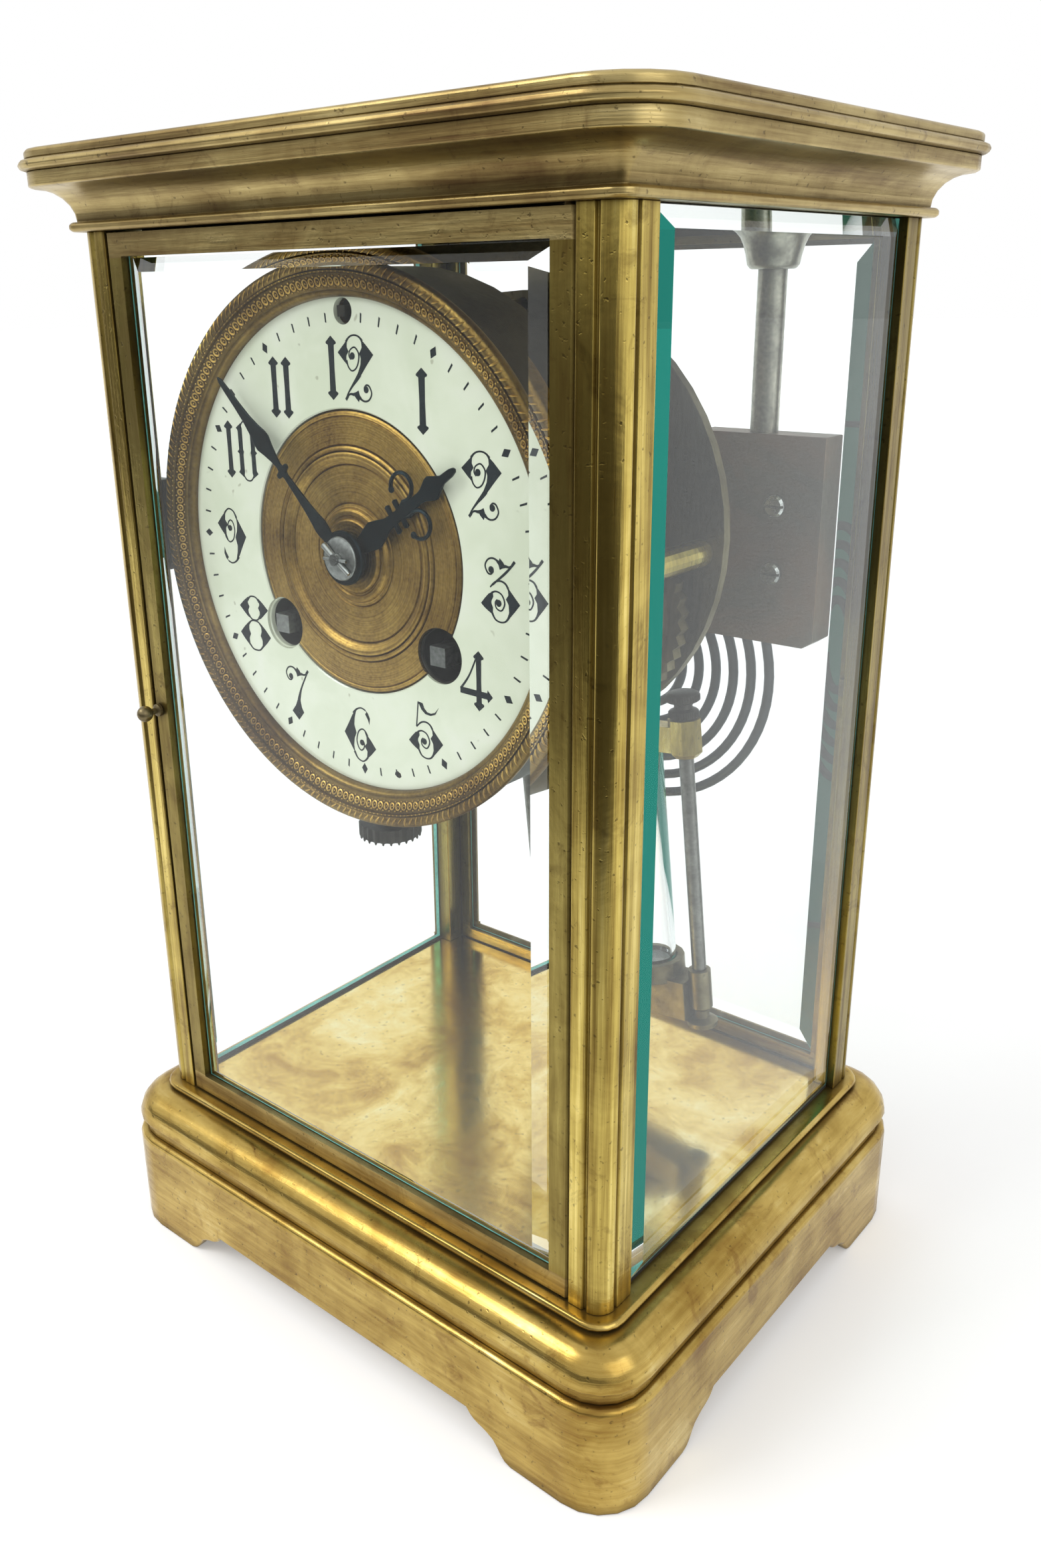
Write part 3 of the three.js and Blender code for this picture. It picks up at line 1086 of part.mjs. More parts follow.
function hourHand() {
  const back = HOUR_HAND_Y + HAND_THICKNESS;
  const blade = bladeShape([
    [1.4, (HAND_BOSS_RADIUS - 1.4) / HOUR_HAND_LENGTH], [2.9, 0.267], [1.2, 0.407], [1.1, 0.716], [2.4, 0.803],
    [0.9, 0.882], [0.75, 0.972], [0.4, 1],
  ], HOUR_HAND_LENGTH);
  const boss = rod(HAND_BOSS_RADIUS - 0.4, HOUR_HAND_Y, back, 'y', [0, 0, 0], SMALL);
  const scrollHeight = 0.607 * HOUR_HAND_LENGTH;
  const barHeight = scrollHeight - SCROLL_RADIUS;
  const bars = [barHeight, barHeight - HAND_BAR_SPACING].map((middle) => box(
    [-HAND_BAR_WIDTH / 2, HOUR_HAND_Y, middle - HAND_BAR_HEIGHT / 2],
    [HAND_BAR_WIDTH / 2, back, middle + HAND_BAR_HEIGHT / 2],
  ));
  const scrolls = [-1, 1].map((side) => scroll(side, scrollHeight, back));
  const hole = rod(CENTRE_ARBOR_RADIUS + FIT_GAP, HOUR_HAND_Y - 1, back + 1, 'y', [0, 0, 0], SMALL);
  return cut(join(boss, plateXZ(blade, HOUR_HAND_Y, back), ...bars, ...scrolls), hole);
}

// One of the hour hand's two scrolls: a ring that is open below, on its outer side.
function scroll(side, height, back) {
  const centre = side * SCROLL_OFFSET;
  const outer = circleShape(SCROLL_RADIUS, centre, height);
  outer.holes.push(circleShape(SCROLL_RADIUS - SCROLL_WIRE, centre + side * 0.2, height));
  const open = polygon([
    [centre, height - SCROLL_WIRE], [centre + side * 5, height - SCROLL_WIRE * 2.4],
    [centre + side * 5, height - SCROLL_RADIUS * 1.5], [centre + side * 0.4, height - SCROLL_RADIUS * 1.5],
  ]);
  return cut(plateXZ(outer, HOUR_HAND_Y, back, 8), plateXZ(open, HOUR_HAND_Y - 1, back + 1));
}

function handCollet() {
  const back = MINUTE_HAND_Y - COLLET_GAP;
  const front = back - COLLET_THICKNESS;
  const bore = CENTRE_ARBOR_RADIUS + FIT_GAP / 3;
  return turned([
    [bore, back],
    [COLLET_RADIUS, back],
    [COLLET_RADIUS - 0.1, front + 0.4],
    [COLLET_RADIUS - 1.2, front],
    [bore, front - 0.15],
    [bore, back],
  ], 'y', [0, 0, 0], SMALL);
}

function buildHands(group) {
  part('centre_arbor', 'steel', centreArbor(), group);
  part('hour_pipe', 'plateBrass', hourPipe(), group);
  const minute = part('minute_hand', 'bluedSteel', minuteHand(), group);
  const hour = part('hour_hand', 'bluedSteel', hourHand(), group);
  part('hand_collet', 'steel', handCollet(), group);
  minute.rotation.y = radians(SHOWN_MINUTES * 6);
  hour.rotation.y = radians((SHOWN_HOUR + SHOWN_MINUTES / 60) * 30);
}

// Pendulum: its group's origin is the point that it swings about, and it hangs along -Z before it is turned.

function sideRod(side) {
  const low = -BOTTOM_BAR_DROP + FERRULE_RISE + FIT_GAP;
  const high = -TOP_BAR_DROP - TOP_BAR_HEIGHT - BOSS_DROP - FIT_GAP;
  return rod(SIDE_ROD_RADIUS, low, high, 'z', [side * ROD_SPACING, 0, 0], 16);
}

function topBar() {
  const top = -TOP_BAR_DROP;
  const low = top - TOP_BAR_HEIGHT;
  const bar = box([-ROD_SPACING, -TOP_BAR_DEPTH / 2, low], [ROD_SPACING, TOP_BAR_DEPTH / 2, top]);
  const ends = [-1, 1].map((side) => eightSidedBoss([side * ROD_SPACING, 0, 0], low - BOSS_DROP, top + BOSS_RISE));
  const crowns = [-1, 1].map((side) => turned([
    [0, top - 1],
    [JAR_RADIUS - JAR_CROWN_INSET, top - 1],
    [JAR_RADIUS - JAR_CROWN_INSET, top + JAR_CROWN_RISE * 0.4],
    [(JAR_RADIUS - JAR_CROWN_INSET) * 0.8, top + JAR_CROWN_RISE * 0.85],
    [0, top + JAR_CROWN_RISE],
  ], 'z', [side * JAR_OFFSET, 0, 0], 16));
  const blockLow = -SUSPENSION_LENGTH - SPRING_BLOCK_HEIGHT / 2;
  const stem = rod(UPPER_ROD_RADIUS, top - 1, blockLow + 1, 'z', [0, 0, 0], 16);
  const block = box(
    [-SPRING_BLOCK_WIDTH / 2, -SPRING_BLOCK_DEPTH / 2, blockLow],
    [SPRING_BLOCK_WIDTH / 2, SPRING_BLOCK_DEPTH / 2, blockLow + SPRING_BLOCK_HEIGHT],
  );
  const spring = box(
    [-SPRING_WIDTH / 2, -SPRING_THICKNESS / 2, -SUSPENSION_LENGTH],
    [SPRING_WIDTH / 2, SPRING_THICKNESS / 2, SPRING_RISE],
  );
  return join(bar, ...ends, ...crowns, stem, block, spring);
}

// Eight sided end of the top bar, with a flat towards each side and its lower edge chamfered.
function eightSidedBoss(at, low, high) {
  const corner = BOSS_WIDTH / 2 / Math.cos(Math.PI / 8);
  const boss = turned([
    [0, low],
    [corner - BOSS_DROP, low],
    [corner, low + BOSS_DROP],
    [corner, high],
    [0, high],
  ], 'z', [0, 0, 0], 8);
  return boss.rotate([0, 0, 22.5]).translate(at);
}

function bottomBar() {
  const top = -BOTTOM_BAR_DROP;
  const low = top - BOTTOM_BAR_HEIGHT;
  const inner = ROD_SPACING - FERRULE_RADIUS + 0.6;
  const bar = box([-inner, -BOTTOM_BAR_DEPTH / 2, low], [inner, BOTTOM_BAR_DEPTH / 2, top]);
  const pair = [-1, 1];
  const cups = pair.map((side) => rod(JAR_CAP_RADIUS, top - 1, top + JAR_CAP_HEIGHT, 'z',
    [side * JAR_OFFSET, 0, 0], SMALL));
  const ferrules = pair.map((side) => turned([
    [0, low - KNOB_DROP],
    [NUT_RADIUS - 0.2, low - KNOB_DROP],
    [NUT_RADIUS, low - KNOB_DROP * 0.3],
    [NUT_RADIUS / 2, low + 0.4],
    [NUT_RADIUS / 2, low + 2.4],
    [FERRULE_RADIUS, low + 3.2],
    [FERRULE_RADIUS, top + FERRULE_RISE],
    [0, top + FERRULE_RISE],
  ], 'z', [side * ROD_SPACING, 0, 0], 16));
  const seats = pair.map((side) => rod(JAR_RADIUS + FIT_GAP, top + JAR_SEAT, top + JAR_CAP_HEIGHT + 1, 'z',
    [side * JAR_OFFSET, 0, 0], SMALL));
  return cut(join(bar, ...cups, ...ferrules), ...seats);
}

function jar(side) {
  const bottom = -BOTTOM_BAR_DROP + JAR_SEAT + FIT_GAP;
  const top = -TOP_BAR_DROP - TOP_BAR_HEIGHT - FIT_GAP;
  return turned([
    [0, bottom],
    [JAR_RADIUS, bottom],
    [JAR_RADIUS, top],
    [JAR_RADIUS - JAR_WALL, top],
    [JAR_RADIUS - JAR_WALL, bottom + JAR_WALL * 1.5],
    [0, bottom + JAR_WALL * 1.5],
  ], 'z', [side * JAR_OFFSET, 0, 0], SMALL);
}

// Rating nut: a lower knurled disc, a neck and a wider knurled disc.
function ratingNut(side) {
  const seat = -TOP_BAR_DROP + BOSS_RISE + FIT_GAP;
  return turned([
    [0, seat],
    [NUT_RADIUS - 0.5, seat],
    [NUT_RADIUS - 0.5, seat + NUT_HEIGHT * 0.3],
    [NUT_RADIUS - 1.7, seat + NUT_HEIGHT * 0.38],
    [NUT_RADIUS - 1.7, seat + NUT_HEIGHT * 0.55],
    [NUT_RADIUS, seat + NUT_HEIGHT * 0.62],
    [NUT_RADIUS, seat + NUT_HEIGHT * 0.9],
    [NUT_RADIUS - 0.8, seat + NUT_HEIGHT],
    [0, seat + NUT_HEIGHT],
  ], 'z', [side * ROD_SPACING, 0, 0], 16);
}

function crutch() {
  const arborFront = FRONT_PLATE_Y - PENDULUM_Y;
  const front = BACK_PLATE_REAR_Y - PENDULUM_Y + CRUTCH_TO_PLATE;
  const back = front + CRUTCH_THICKNESS;
  const arbor = rod(PALLET_ARBOR_RADIUS, arborFront, back, 'y', [0, 0, 0], TINY);
  const arm = box([-CRUTCH_WIDTH / 2, front, -CRUTCH_LENGTH], [CRUTCH_WIDTH / 2, back, PALLET_ARBOR_RADIUS]);
  const inner = UPPER_ROD_RADIUS + FIT_GAP;
  const outer = inner + PRONG_WIDTH;
  const prongTop = -CRUTCH_LENGTH + PRONG_HEIGHT;
  const prongs = [-1, 1].map((side) => {
    const across = [side * inner, side * outer].sort((a, b) => a - b);
    return box([across[0], front, -CRUTCH_LENGTH], [across[1], PRONG_REACH, prongTop]);
  });
  const bridge = box([-outer, front, -CRUTCH_LENGTH], [outer, back, prongTop]);
  const palletY = ESCAPE_Y - PENDULUM_Y;
  const tip = ESCAPE_BELOW_PALLETS - ESCAPE_RADIUS;
  const inside = PALLET_HALF_SPAN - PALLET_FACE;
  const anchor = plateXZ(polygon([
    [-PALLET_HALF_SPAN, -tip], [-inside, -tip], [-PALLET_HALF_SPAN / 2, -tip * 0.4], [0, -ANCHOR_RISE],
    [PALLET_HALF_SPAN / 2, -tip * 0.4], [inside, -tip], [PALLET_HALF_SPAN, -tip],
    [PALLET_HALF_SPAN * 0.7, -ANCHOR_RISE * 0.7], [0, ANCHOR_RISE], [-PALLET_HALF_SPAN * 0.7, -ANCHOR_RISE * 0.7],
  ]), palletY, palletY + PALLET_THICKNESS);
  return join(arbor, arm, bridge, ...prongs, anchor);
}

function buildPendulum(group) {
  part('pendulum_top_bar', 'agedBrass', topBar(), group);
  part('pendulum_bottom_bar', 'agedBrass', bottomBar(), group);
  for (const [name, side] of [['left', -1], ['right', 1]]) {
    part(`pendulum_rod_${name}`, 'steel', sideRod(side), group);
    part(`pendulum_jar_${name}`, 'glass', jar(side), group);
    part(`pendulum_nut_${name}`, 'plateBrass', ratingNut(side), group);
  }
  part('crutch', 'steel', crutch(), group);
}

// Gong: a flat spiral of wire behind the movement, held by a block that hangs from the ceiling.

// Middle line of the wire, from the inner end of the spiral to the end that the clamp holds.
function gongLine() {
  const points = [];
  const total = Math.round(GONG_TURNS * GONG_STEPS);
  const endAngle = radians(GONG_LEAN);
  for (let step = 0; step <= total; step += 1) {
    const back = (total - step) / GONG_STEPS;
    const radius = GONG_RADIUS - GONG_PITCH * back;
    const angle = endAngle - back * Math.PI * 2;
    points.push(new THREE.Vector3(GONG_X + radius * Math.cos(angle), GONG_Y, GONG_HEIGHT + radius * Math.sin(angle)));
  }
  const last = points[points.length - 1];
  const centreX = last.x + GONG_EASE_RADIUS * Math.cos(endAngle);
  const centreZ = last.z + GONG_EASE_RADIUS * Math.sin(endAngle);
  for (const degrees of [GONG_LEAN / 2, 0]) {
    const angle = radians(degrees);
    points.push(new THREE.Vector3(
      centreX - GONG_EASE_RADIUS * Math.cos(angle), GONG_Y, centreZ - GONG_EASE_RADIUS * Math.sin(angle)));
  }
  const straightX = points[points.length - 1].x;
  points.push(new THREE.Vector3(straightX, GONG_Y, CLAMP_BOTTOM - FIT_GAP));
  return points;
}

// A tube of flat sided section round a line of points that lies in one plane facing Y.
function wire(points, radius, sides) {
  const positions = [];
  const indices = [];
  points.forEach((point, index) => {
    const before = points[Math.max(index - 1, 0)];
    const after = points[Math.min(index + 1, points.length - 1)];
    const along = after.clone().sub(before).normalize();
    const across = new THREE.Vector3(along.z, 0, -along.x);
    for (let side = 0; side < sides; side += 1) {
      const angle = (side / sides) * Math.PI * 2;
      const offset = across.clone().multiplyScalar(Math.cos(angle) * radius);
      offset.y = Math.sin(angle) * radius;
      positions.push(...point.clone().add(offset).toArray());
    }
  });
  for (let band = 0; band < points.length - 1; band += 1) {
    for (let side = 0; side < sides; side += 1) {
      const next = (side + 1) % sides;
      const [a, b] = [band * sides + side, band * sides + next];
      indices.push(a, b, b + sides, a, b + sides, a + sides);
    }
  }
  const last = (points.length - 1) * sides;
  for (let side = 1; side < sides - 1; side += 1) {
    indices.push(0, side + 1, side, last, last + side, last + side + 1);
  }
  const geometry = new THREE.BufferGeometry();
  geometry.setAttribute('position', new THREE.Float32BufferAttribute(positions, 3));
  geometry.setIndex(indices);
  return solid(geometry);
}

// Least distance between wire surfaces of two stretches that are at least half a turn apart.
function leastCoilGap(points) {
  let least = Infinity;
  const apart = GONG_STEPS / 2;
  for (let i = 0; i < points.length; i += 1) {
    for (let j = i + apart; j < points.length; j += 1) {
      least = Math.min(least, points[i].distanceTo(points[j]) - GONG_WIRE);
    }
  }
  return least;
}

function gongStand() {
  const ferruleBottom = CORNICE_BOTTOM - FERRULE_HEIGHT;
  const at = [STAND_X, STAND_Y, 0];
  const up = (share) => ferruleBottom + FERRULE_HEIGHT * share;
  const flare = turned([
    [0, ferruleBottom],
    [FLARE_RADIUS * 0.44, ferruleBottom],
    [FLARE_RADIUS * 0.54, up(0.09)],
    [FLARE_RADIUS * 0.63, up(0.54)],
    [FLARE_RADIUS * 0.69, up(0.72)],
    [FLARE_RADIUS * 0.82, up(0.83)],
    [FLARE_RADIUS * 0.96, up(0.87)],
    [FLARE_RADIUS, up(0.91)],
    [FLARE_RADIUS, CORNICE_BOTTOM],
    [0, CORNICE_BOTTOM],
  ], 'z', at, SMALL);
  return join(flare, rod(STAND_ROD_RADIUS, BLOCK_TOP, ferruleBottom + 1, 'z', at, 8));
}

// Outline seen from the front, with its lower right corner cut off, and the clamp that stands behind it.
function gongBlock() {
  const slab = plateXZ(polygon([
    [BLOCK_LEFT, BLOCK_BOTTOM], [BLOCK_RIGHT - BLOCK_CHAMFER, BLOCK_BOTTOM],
    [BLOCK_RIGHT, BLOCK_BOTTOM + BLOCK_CHAMFER * 0.7], [BLOCK_RIGHT, BLOCK_TOP], [BLOCK_LEFT, BLOCK_TOP],
  ]), BLOCK_FRONT_Y, BLOCK_BACK_Y);
  const clamp = box([CLAMP_LEFT, BLOCK_BACK_Y - 0.5, CLAMP_BOTTOM], [CLAMP_RIGHT, CLAMP_BACK_Y, CLAMP_TOP]);
  const holes = gongScrewHeights().map((height) => rod(GONG_SCREW_RADIUS + FIT_GAP, BLOCK_FRONT_Y - 1,
    CLAMP_BACK_Y + 1, 'y', [GONG_SCREW_X, 0, height], TINY));
  return cut(join(slab, clamp), ...holes);
}

const gongScrewHeights = () => GONG_SCREW_RISES.map((rise) => BLOCK_BOTTOM + rise);

function gongScrew(height) {
  const under = BLOCK_FRONT_Y - FIT_GAP;
  const face = under - GONG_SCREW_HEAD_HEIGHT;
  const tip = CLAMP_BACK_Y + 0.6;
  const body = turned([
    [0, face],
    [GONG_SCREW_HEAD - 0.5, face + 0.1],
    [GONG_SCREW_HEAD, face + 0.7],
    [GONG_SCREW_HEAD, under],
    [GONG_SCREW_RADIUS, under],
    [GONG_SCREW_RADIUS, tip],
    [0, tip],
  ], 'y', [GONG_SCREW_X, 0, height], 16);
  const slot = box(
    [GONG_SCREW_X - GONG_SCREW_HEAD - 1, face - 1, height - GONG_SCREW_SLOT / 2],
    [GONG_SCREW_X + GONG_SCREW_HEAD + 1, face + GONG_SCREW_SLOT, height + GONG_SCREW_SLOT / 2],
  );
  return cut(body, slot);
}

function buildGong(group) {
  const line = gongLine();
  console.log(`gong coil: least gap to itself ${leastCoilGap(line).toFixed(2)} mm`);
  part('gong_stand', 'agedBrass', gongStand(), group);
  part('gong_block', 'plateBrass', gongBlock(), group);
  gongScrewHeights().forEach((height, index) => {
    part(`gong_screw_${index + 1}`, 'steel', gongScrew(height), group);
  });
  part('gong_coil', 'bluedSteel', wire(line, GONG_WIRE / 2, GONG_SIDES), group);
}

// Brackets from the drum to the front pillars, and the thumbscrew under the drum

function bracket(side) {
  const front = -PILLAR_INNER_Y;
  const outer = PILLAR_INNER_X + BRACKET_OVERLAP;
  const seat = DRUM_RADIUS + FIT_GAP;
  const start = Math.asin(BRACKET_NARROW / seat);
  const shape = new THREE.Shape();
  shape.moveTo(seat * Math.cos(start), -BRACKET_NARROW);
  shape.quadraticCurveTo(PILLAR_INNER_X - 1, -BRACKET_NARROW, PILLAR_INNER_X, -BRACKET_WIDE);
  shape.lineTo(outer, -BRACKET_WIDE);
  shape.lineTo(outer, BRACKET_WIDE);
  shape.lineTo(PILLAR_INNER_X, BRACKET_WIDE);
  shape.quadraticCurveTo(PILLAR_INNER_X - 1, BRACKET_NARROW, seat * Math.cos(start), BRACKET_NARROW);
  shape.absarc(0, 0, seat, start, -start, true);
  const body = plateXZ(shape, front, front + BRACKET_THICKNESS, 5);
  return side > 0 ? body : body.rotate([0, 180, 0]);
}

function thumbscrew() {
  const headTop = -DRUM_RADIUS - THUMB_DROP;
  const outline = [];
  for (let ridge = 0; ridge < THUMB_RIDGES * 2; ridge += 1) {
    const angle = (ridge / THUMB_RIDGES) * Math.PI;
    const radius = ridge % 2 ? THUMB_RADIUS - THUMB_RIDGE_DEPTH : THUMB_RADIUS;
    outline.push(new THREE.Vector2(radius * Math.cos(angle), radius * Math.sin(angle)));
  }
  const shape = new THREE.Shape(outline);
  const disc = new THREE.ExtrudeGeometry(shape, { depth: THUMB_THICKNESS - 1, bevelEnabled: false });
  disc.translate(0, THUMB_Y, headTop - THUMB_THICKNESS + 1);
  const dome = turned([
    [0, headTop - THUMB_THICKNESS],
    [THUMB_RADIUS * 0.7, headTop - THUMB_THICKNESS + 0.2],
    [THUMB_RADIUS - 0.5, headTop - THUMB_THICKNESS + 1.1],
    [0, headTop - THUMB_THICKNESS + 1.1],
  ], 'z', [0, THUMB_Y, 0], SMALL);
  const shank = rod(THUMB_SHANK_RADIUS, headTop - 0.5, -DRUM_RING_RADIUS - 2, 'z', [0, THUMB_Y, 0], TINY);
  return join(solid(disc), dome, shank);
}

// Assembly

const clock = new THREE.Group();
clock.add(buildCase());
clock.add(buildDoor('front', 0));
clock.add(buildDoor('rear', Math.PI));

const works = new THREE.Group();
works.position.z = DIAL_HEIGHT;
buildDial(works);
buildMovement(works);
buildHands(works);
part('bracket_right', 'darkDrum', bracket(1), works);
part('bracket_left', 'darkDrum', bracket(-1), works);
part('thumbscrew', 'plateBrass', thumbscrew(), works);
clock.add(works);

const pendulum = new THREE.Group();
pendulum.position.set(0, PENDULUM_Y, PIVOT_HEIGHT);
pendulum.rotation.y = -radians(SWING_SHOWN);
buildPendulum(pendulum);
clock.add(pendulum);

const gong = new THREE.Group();
buildGong(gong);
clock.add(gong);

export default clock;
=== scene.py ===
# Looks of a four glass mantel clock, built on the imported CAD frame.
# Metres, +Z up, the dial faces -Y. Profiles and outlines are written in millimetres and scaled by MM.

import json
import math
import random

import bmesh
import bpy
from mathutils import Matrix, Vector


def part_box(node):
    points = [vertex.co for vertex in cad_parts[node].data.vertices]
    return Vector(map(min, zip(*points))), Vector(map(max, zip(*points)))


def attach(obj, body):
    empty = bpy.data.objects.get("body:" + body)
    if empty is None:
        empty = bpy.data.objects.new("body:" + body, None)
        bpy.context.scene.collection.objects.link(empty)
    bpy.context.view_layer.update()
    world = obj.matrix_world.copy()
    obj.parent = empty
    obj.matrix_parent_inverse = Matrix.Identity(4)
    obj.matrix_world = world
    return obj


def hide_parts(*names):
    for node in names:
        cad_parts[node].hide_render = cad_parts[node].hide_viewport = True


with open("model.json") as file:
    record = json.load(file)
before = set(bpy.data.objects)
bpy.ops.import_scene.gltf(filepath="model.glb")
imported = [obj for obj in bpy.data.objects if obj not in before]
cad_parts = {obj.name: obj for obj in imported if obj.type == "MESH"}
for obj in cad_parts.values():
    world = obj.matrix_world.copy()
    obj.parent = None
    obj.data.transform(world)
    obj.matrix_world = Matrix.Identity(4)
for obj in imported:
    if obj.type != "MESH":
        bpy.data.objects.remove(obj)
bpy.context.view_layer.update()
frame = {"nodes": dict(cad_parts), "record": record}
MM = 0.001

# Places that the CAD model gives, in millimetres
DIAL_Z = 190.2
ENAMEL_Y = -47.0
CEILING_Z = 253.9
PIVOT = (0, 24.6, 228)
SWING = 6.2
GONG_Y = 44.4
GONG_Z = 148.3
WINDING = (22.78, -17.5)
INNER_X = 66.0
INNER_Y = 53.0

WHITE = (1, 1, 1, 1)
SHARP = 32


# Node graphs

class Graph:
    """The node tree of a new material or of the world, with short calls to add and join nodes."""

    def __init__(self, owner):
        self.material = bpy.data.materials.new(owner) if isinstance(owner, str) else owner
        self.material.use_nodes = True
        self.nodes = self.material.node_tree.nodes
        self.links = self.material.node_tree.links
        self.shader = self.nodes.get("Principled BSDF") or self.nodes["Background"]
        self.coordinates = self.add("TexCoord").outputs
        self.place = self.coordinates["Object"]

    def put(self, value, socket):
        if isinstance(value, bpy.types.NodeSocket):
            self.links.new(value, socket)
        elif value is not None:
            socket.default_value = value

    def add(self, kind, *values, **settings):
        """A new node with its settings; the values go to its first inputs, in order."""
        node = self.nodes.new("ShaderNode" + kind)
        for name, setting in settings.items():
            setattr(node, name, setting)
        for value, socket in zip(values, node.inputs):
            self.put(value, socket)
        return node

    def fill(self, node, **values):
        """Puts values in inputs by their names, with _ for a space."""
        for name, value in values.items():
            self.put(value, node.inputs[name.replace("_", " ")])
        return node

    def shaded(self, **values):
        self.fill(self.shader, **values)
        return self.material

    def surface(self, socket):
        self.put(socket, self.nodes["Material Output"].inputs["Surface"])
        return self.material

    def noise(self, scale, detail=4, roughness=0.55, distortion=0, offset=(0, 0, 0)):
        """A noise over the piece; a scale of one number is the same along each axis."""
        scale = scale if isinstance(scale, tuple) else (scale, scale, scale)
        place = self.add("Mapping", self.place, offset, None, scale).outputs["Vector"]
        node = self.fill(self.add("TexNoise"), Vector=place, Scale=1, Detail=detail, Roughness=roughness,
                         Distortion=distortion)
        return node.outputs["Fac"]

    def math(self, operation, *values, clamp=False):
        return self.add("Math", *values, operation=operation, use_clamp=clamp).outputs[0]

    def weighed(self, *pairs):
        """The sum of fields, each times its weight."""
        total = None
        for field, weight in pairs:
            share = self.math("MULTIPLY", field, weight)
            total = share if total is None else self.math("ADD", total, share)
        return total

    def ranged(self, value, low, high, to_low=0, to_high=1):
        limits = {"From Min": low, "From Max": high, "To Min": to_low, "To Max": to_high}
        return self.fill(self.add("MapRange"), Value=value, **limits).outputs["Result"]

    def ramp(self, value, stops):
        node = self.add("ValToRGB", value)
        elements = node.color_ramp.elements
        while len(elements) < len(stops):
            elements.new(0.5)
        for element, (position, colour) in zip(elements, stops):
            element.position = position
            element.color = (*colour, 1)
        return node.outputs["Color"]

    def tinted(self, colour, field, share, shade):
        """A colour that goes over to a shade by a share of a field."""
        node = self.fill(self.add("Mix", data_type="RGBA"), Factor=self.math("MULTIPLY", field, share))
        self.put(colour, node.inputs[6])
        self.put((*shade, 1), node.inputs[7])
        return node.outputs[2]

    def crevice_shade(self, reach, low=0.35):
        """1 deep in a crevice and 0 on open surface: an ambient occlusion mask for painted shade."""
        node = self.fill(self.add("AmbientOcclusion", samples=4), Distance=reach)
        return self.ranged(node.outputs["AO"], low, 0.95, 1, 0)

    def bump(self, height, strength, distance, below=None):
        node = self.fill(self.add("Bump"), Strength=strength, Distance=distance, Height=height, Normal=below)
        return node.outputs["Normal"]

    def clear(self, colour):
        return self.add("BsdfTransparent", (*colour, 1)).outputs[0]

    def either(self, share, first, second):
        return self.add("MixShader", share, first, second).outputs[0]

    def rays(self, *kinds):
        """1 for a ray of any of these kinds."""
        path = self.add("LightPath").outputs
        found = path[f"Is {kinds[0]} Ray"]
        for kind in kinds[1:]:
            found = self.math("MAXIMUM", found, path[f"Is {kind} Ray"])
        return found


def times(colour, factor):
    return tuple(min(1, c * factor) for c in colour)


def brass(name, shades, streak, blotch, rough=(0.2, 0.42), stain=0.5, crevice_darkening=0.7, seed=0.0, lined=0.4):
    """Aged brass: streaks along the drawn length, broad tarnish, dark specks and painted shade in the
    crevices.
    """
    g = Graph(name)
    shift = (seed, seed * 1.7, seed * 0.6)
    broad = g.noise(blotch, 5, 0.6, 0.6, shift)
    lines = g.noise(streak, 5, 0.65, 0.2, shift)
    fine = g.noise(tuple(4.5 * s for s in streak), 3, 0.6, 0, shift)
    tone = g.weighed((broad, 0.85 - lined), (lines, lined), (fine, 0.15))
    colour = g.ramp(tone, list(zip((0.33, 0.44, 0.55, 0.68), shades)))
    stains = g.ranged(g.noise(90, 6, 0.7, 1.2, shift), 0.56, 0.7)
    colour = g.tinted(colour, stains, stain, shades[0])
    specks = g.ranged(g.noise(900, 2, 0.5, 0, shift), 0.66, 0.74)
    colour = g.tinted(colour, specks, 0.5, (0.035, 0.022, 0.012))
    # Painted shade: the colour darkens in the crevices by ambient occlusion, which also roughens them there.
    crevice_shade = g.crevice_shade(0.0035)
    colour = g.tinted(colour, crevice_shade, crevice_darkening, (0.045, 0.03, 0.016))
    roughness = g.ranged(tone, 0.3, 0.7, rough[1], rough[0])
    roughness = g.math("ADD", roughness, g.math("MULTIPLY", crevice_shade, 0.3), clamp=True)
    scratches = g.math("ADD", fine, g.math("MULTIPLY", specks, -0.6))
    normal = g.bump(scratches, 0.12, 0.0004, g.bump(broad, 0.08, 0.002))
    return g.shaded(Base_Color=colour, Metallic=1.0, Roughness=roughness, Normal=normal)


OLIVE = ((0.09, 0.044, 0.01), (0.28, 0.195, 0.046), (0.55, 0.42, 0.11), (0.9, 0.74, 0.27))
UMBER = ((0.085, 0.046, 0.012), (0.2, 0.145, 0.038), (0.31, 0.24, 0.068), (0.47, 0.38, 0.12))
BRONZE = ((0.11, 0.058, 0.023), (0.27, 0.19, 0.07), (0.46, 0.355, 0.145), (0.66, 0.54, 0.26))
GOLD = ((0.17, 0.075, 0.016), (0.34, 0.22, 0.05), (0.52, 0.37, 0.105), (0.74, 0.6, 0.26))
DULL = ((0.07, 0.05, 0.025), (0.14, 0.11, 0.055), (0.22, 0.18, 0.1), (0.33, 0.28, 0.17))
UPRIGHT = (420, 420, 9)

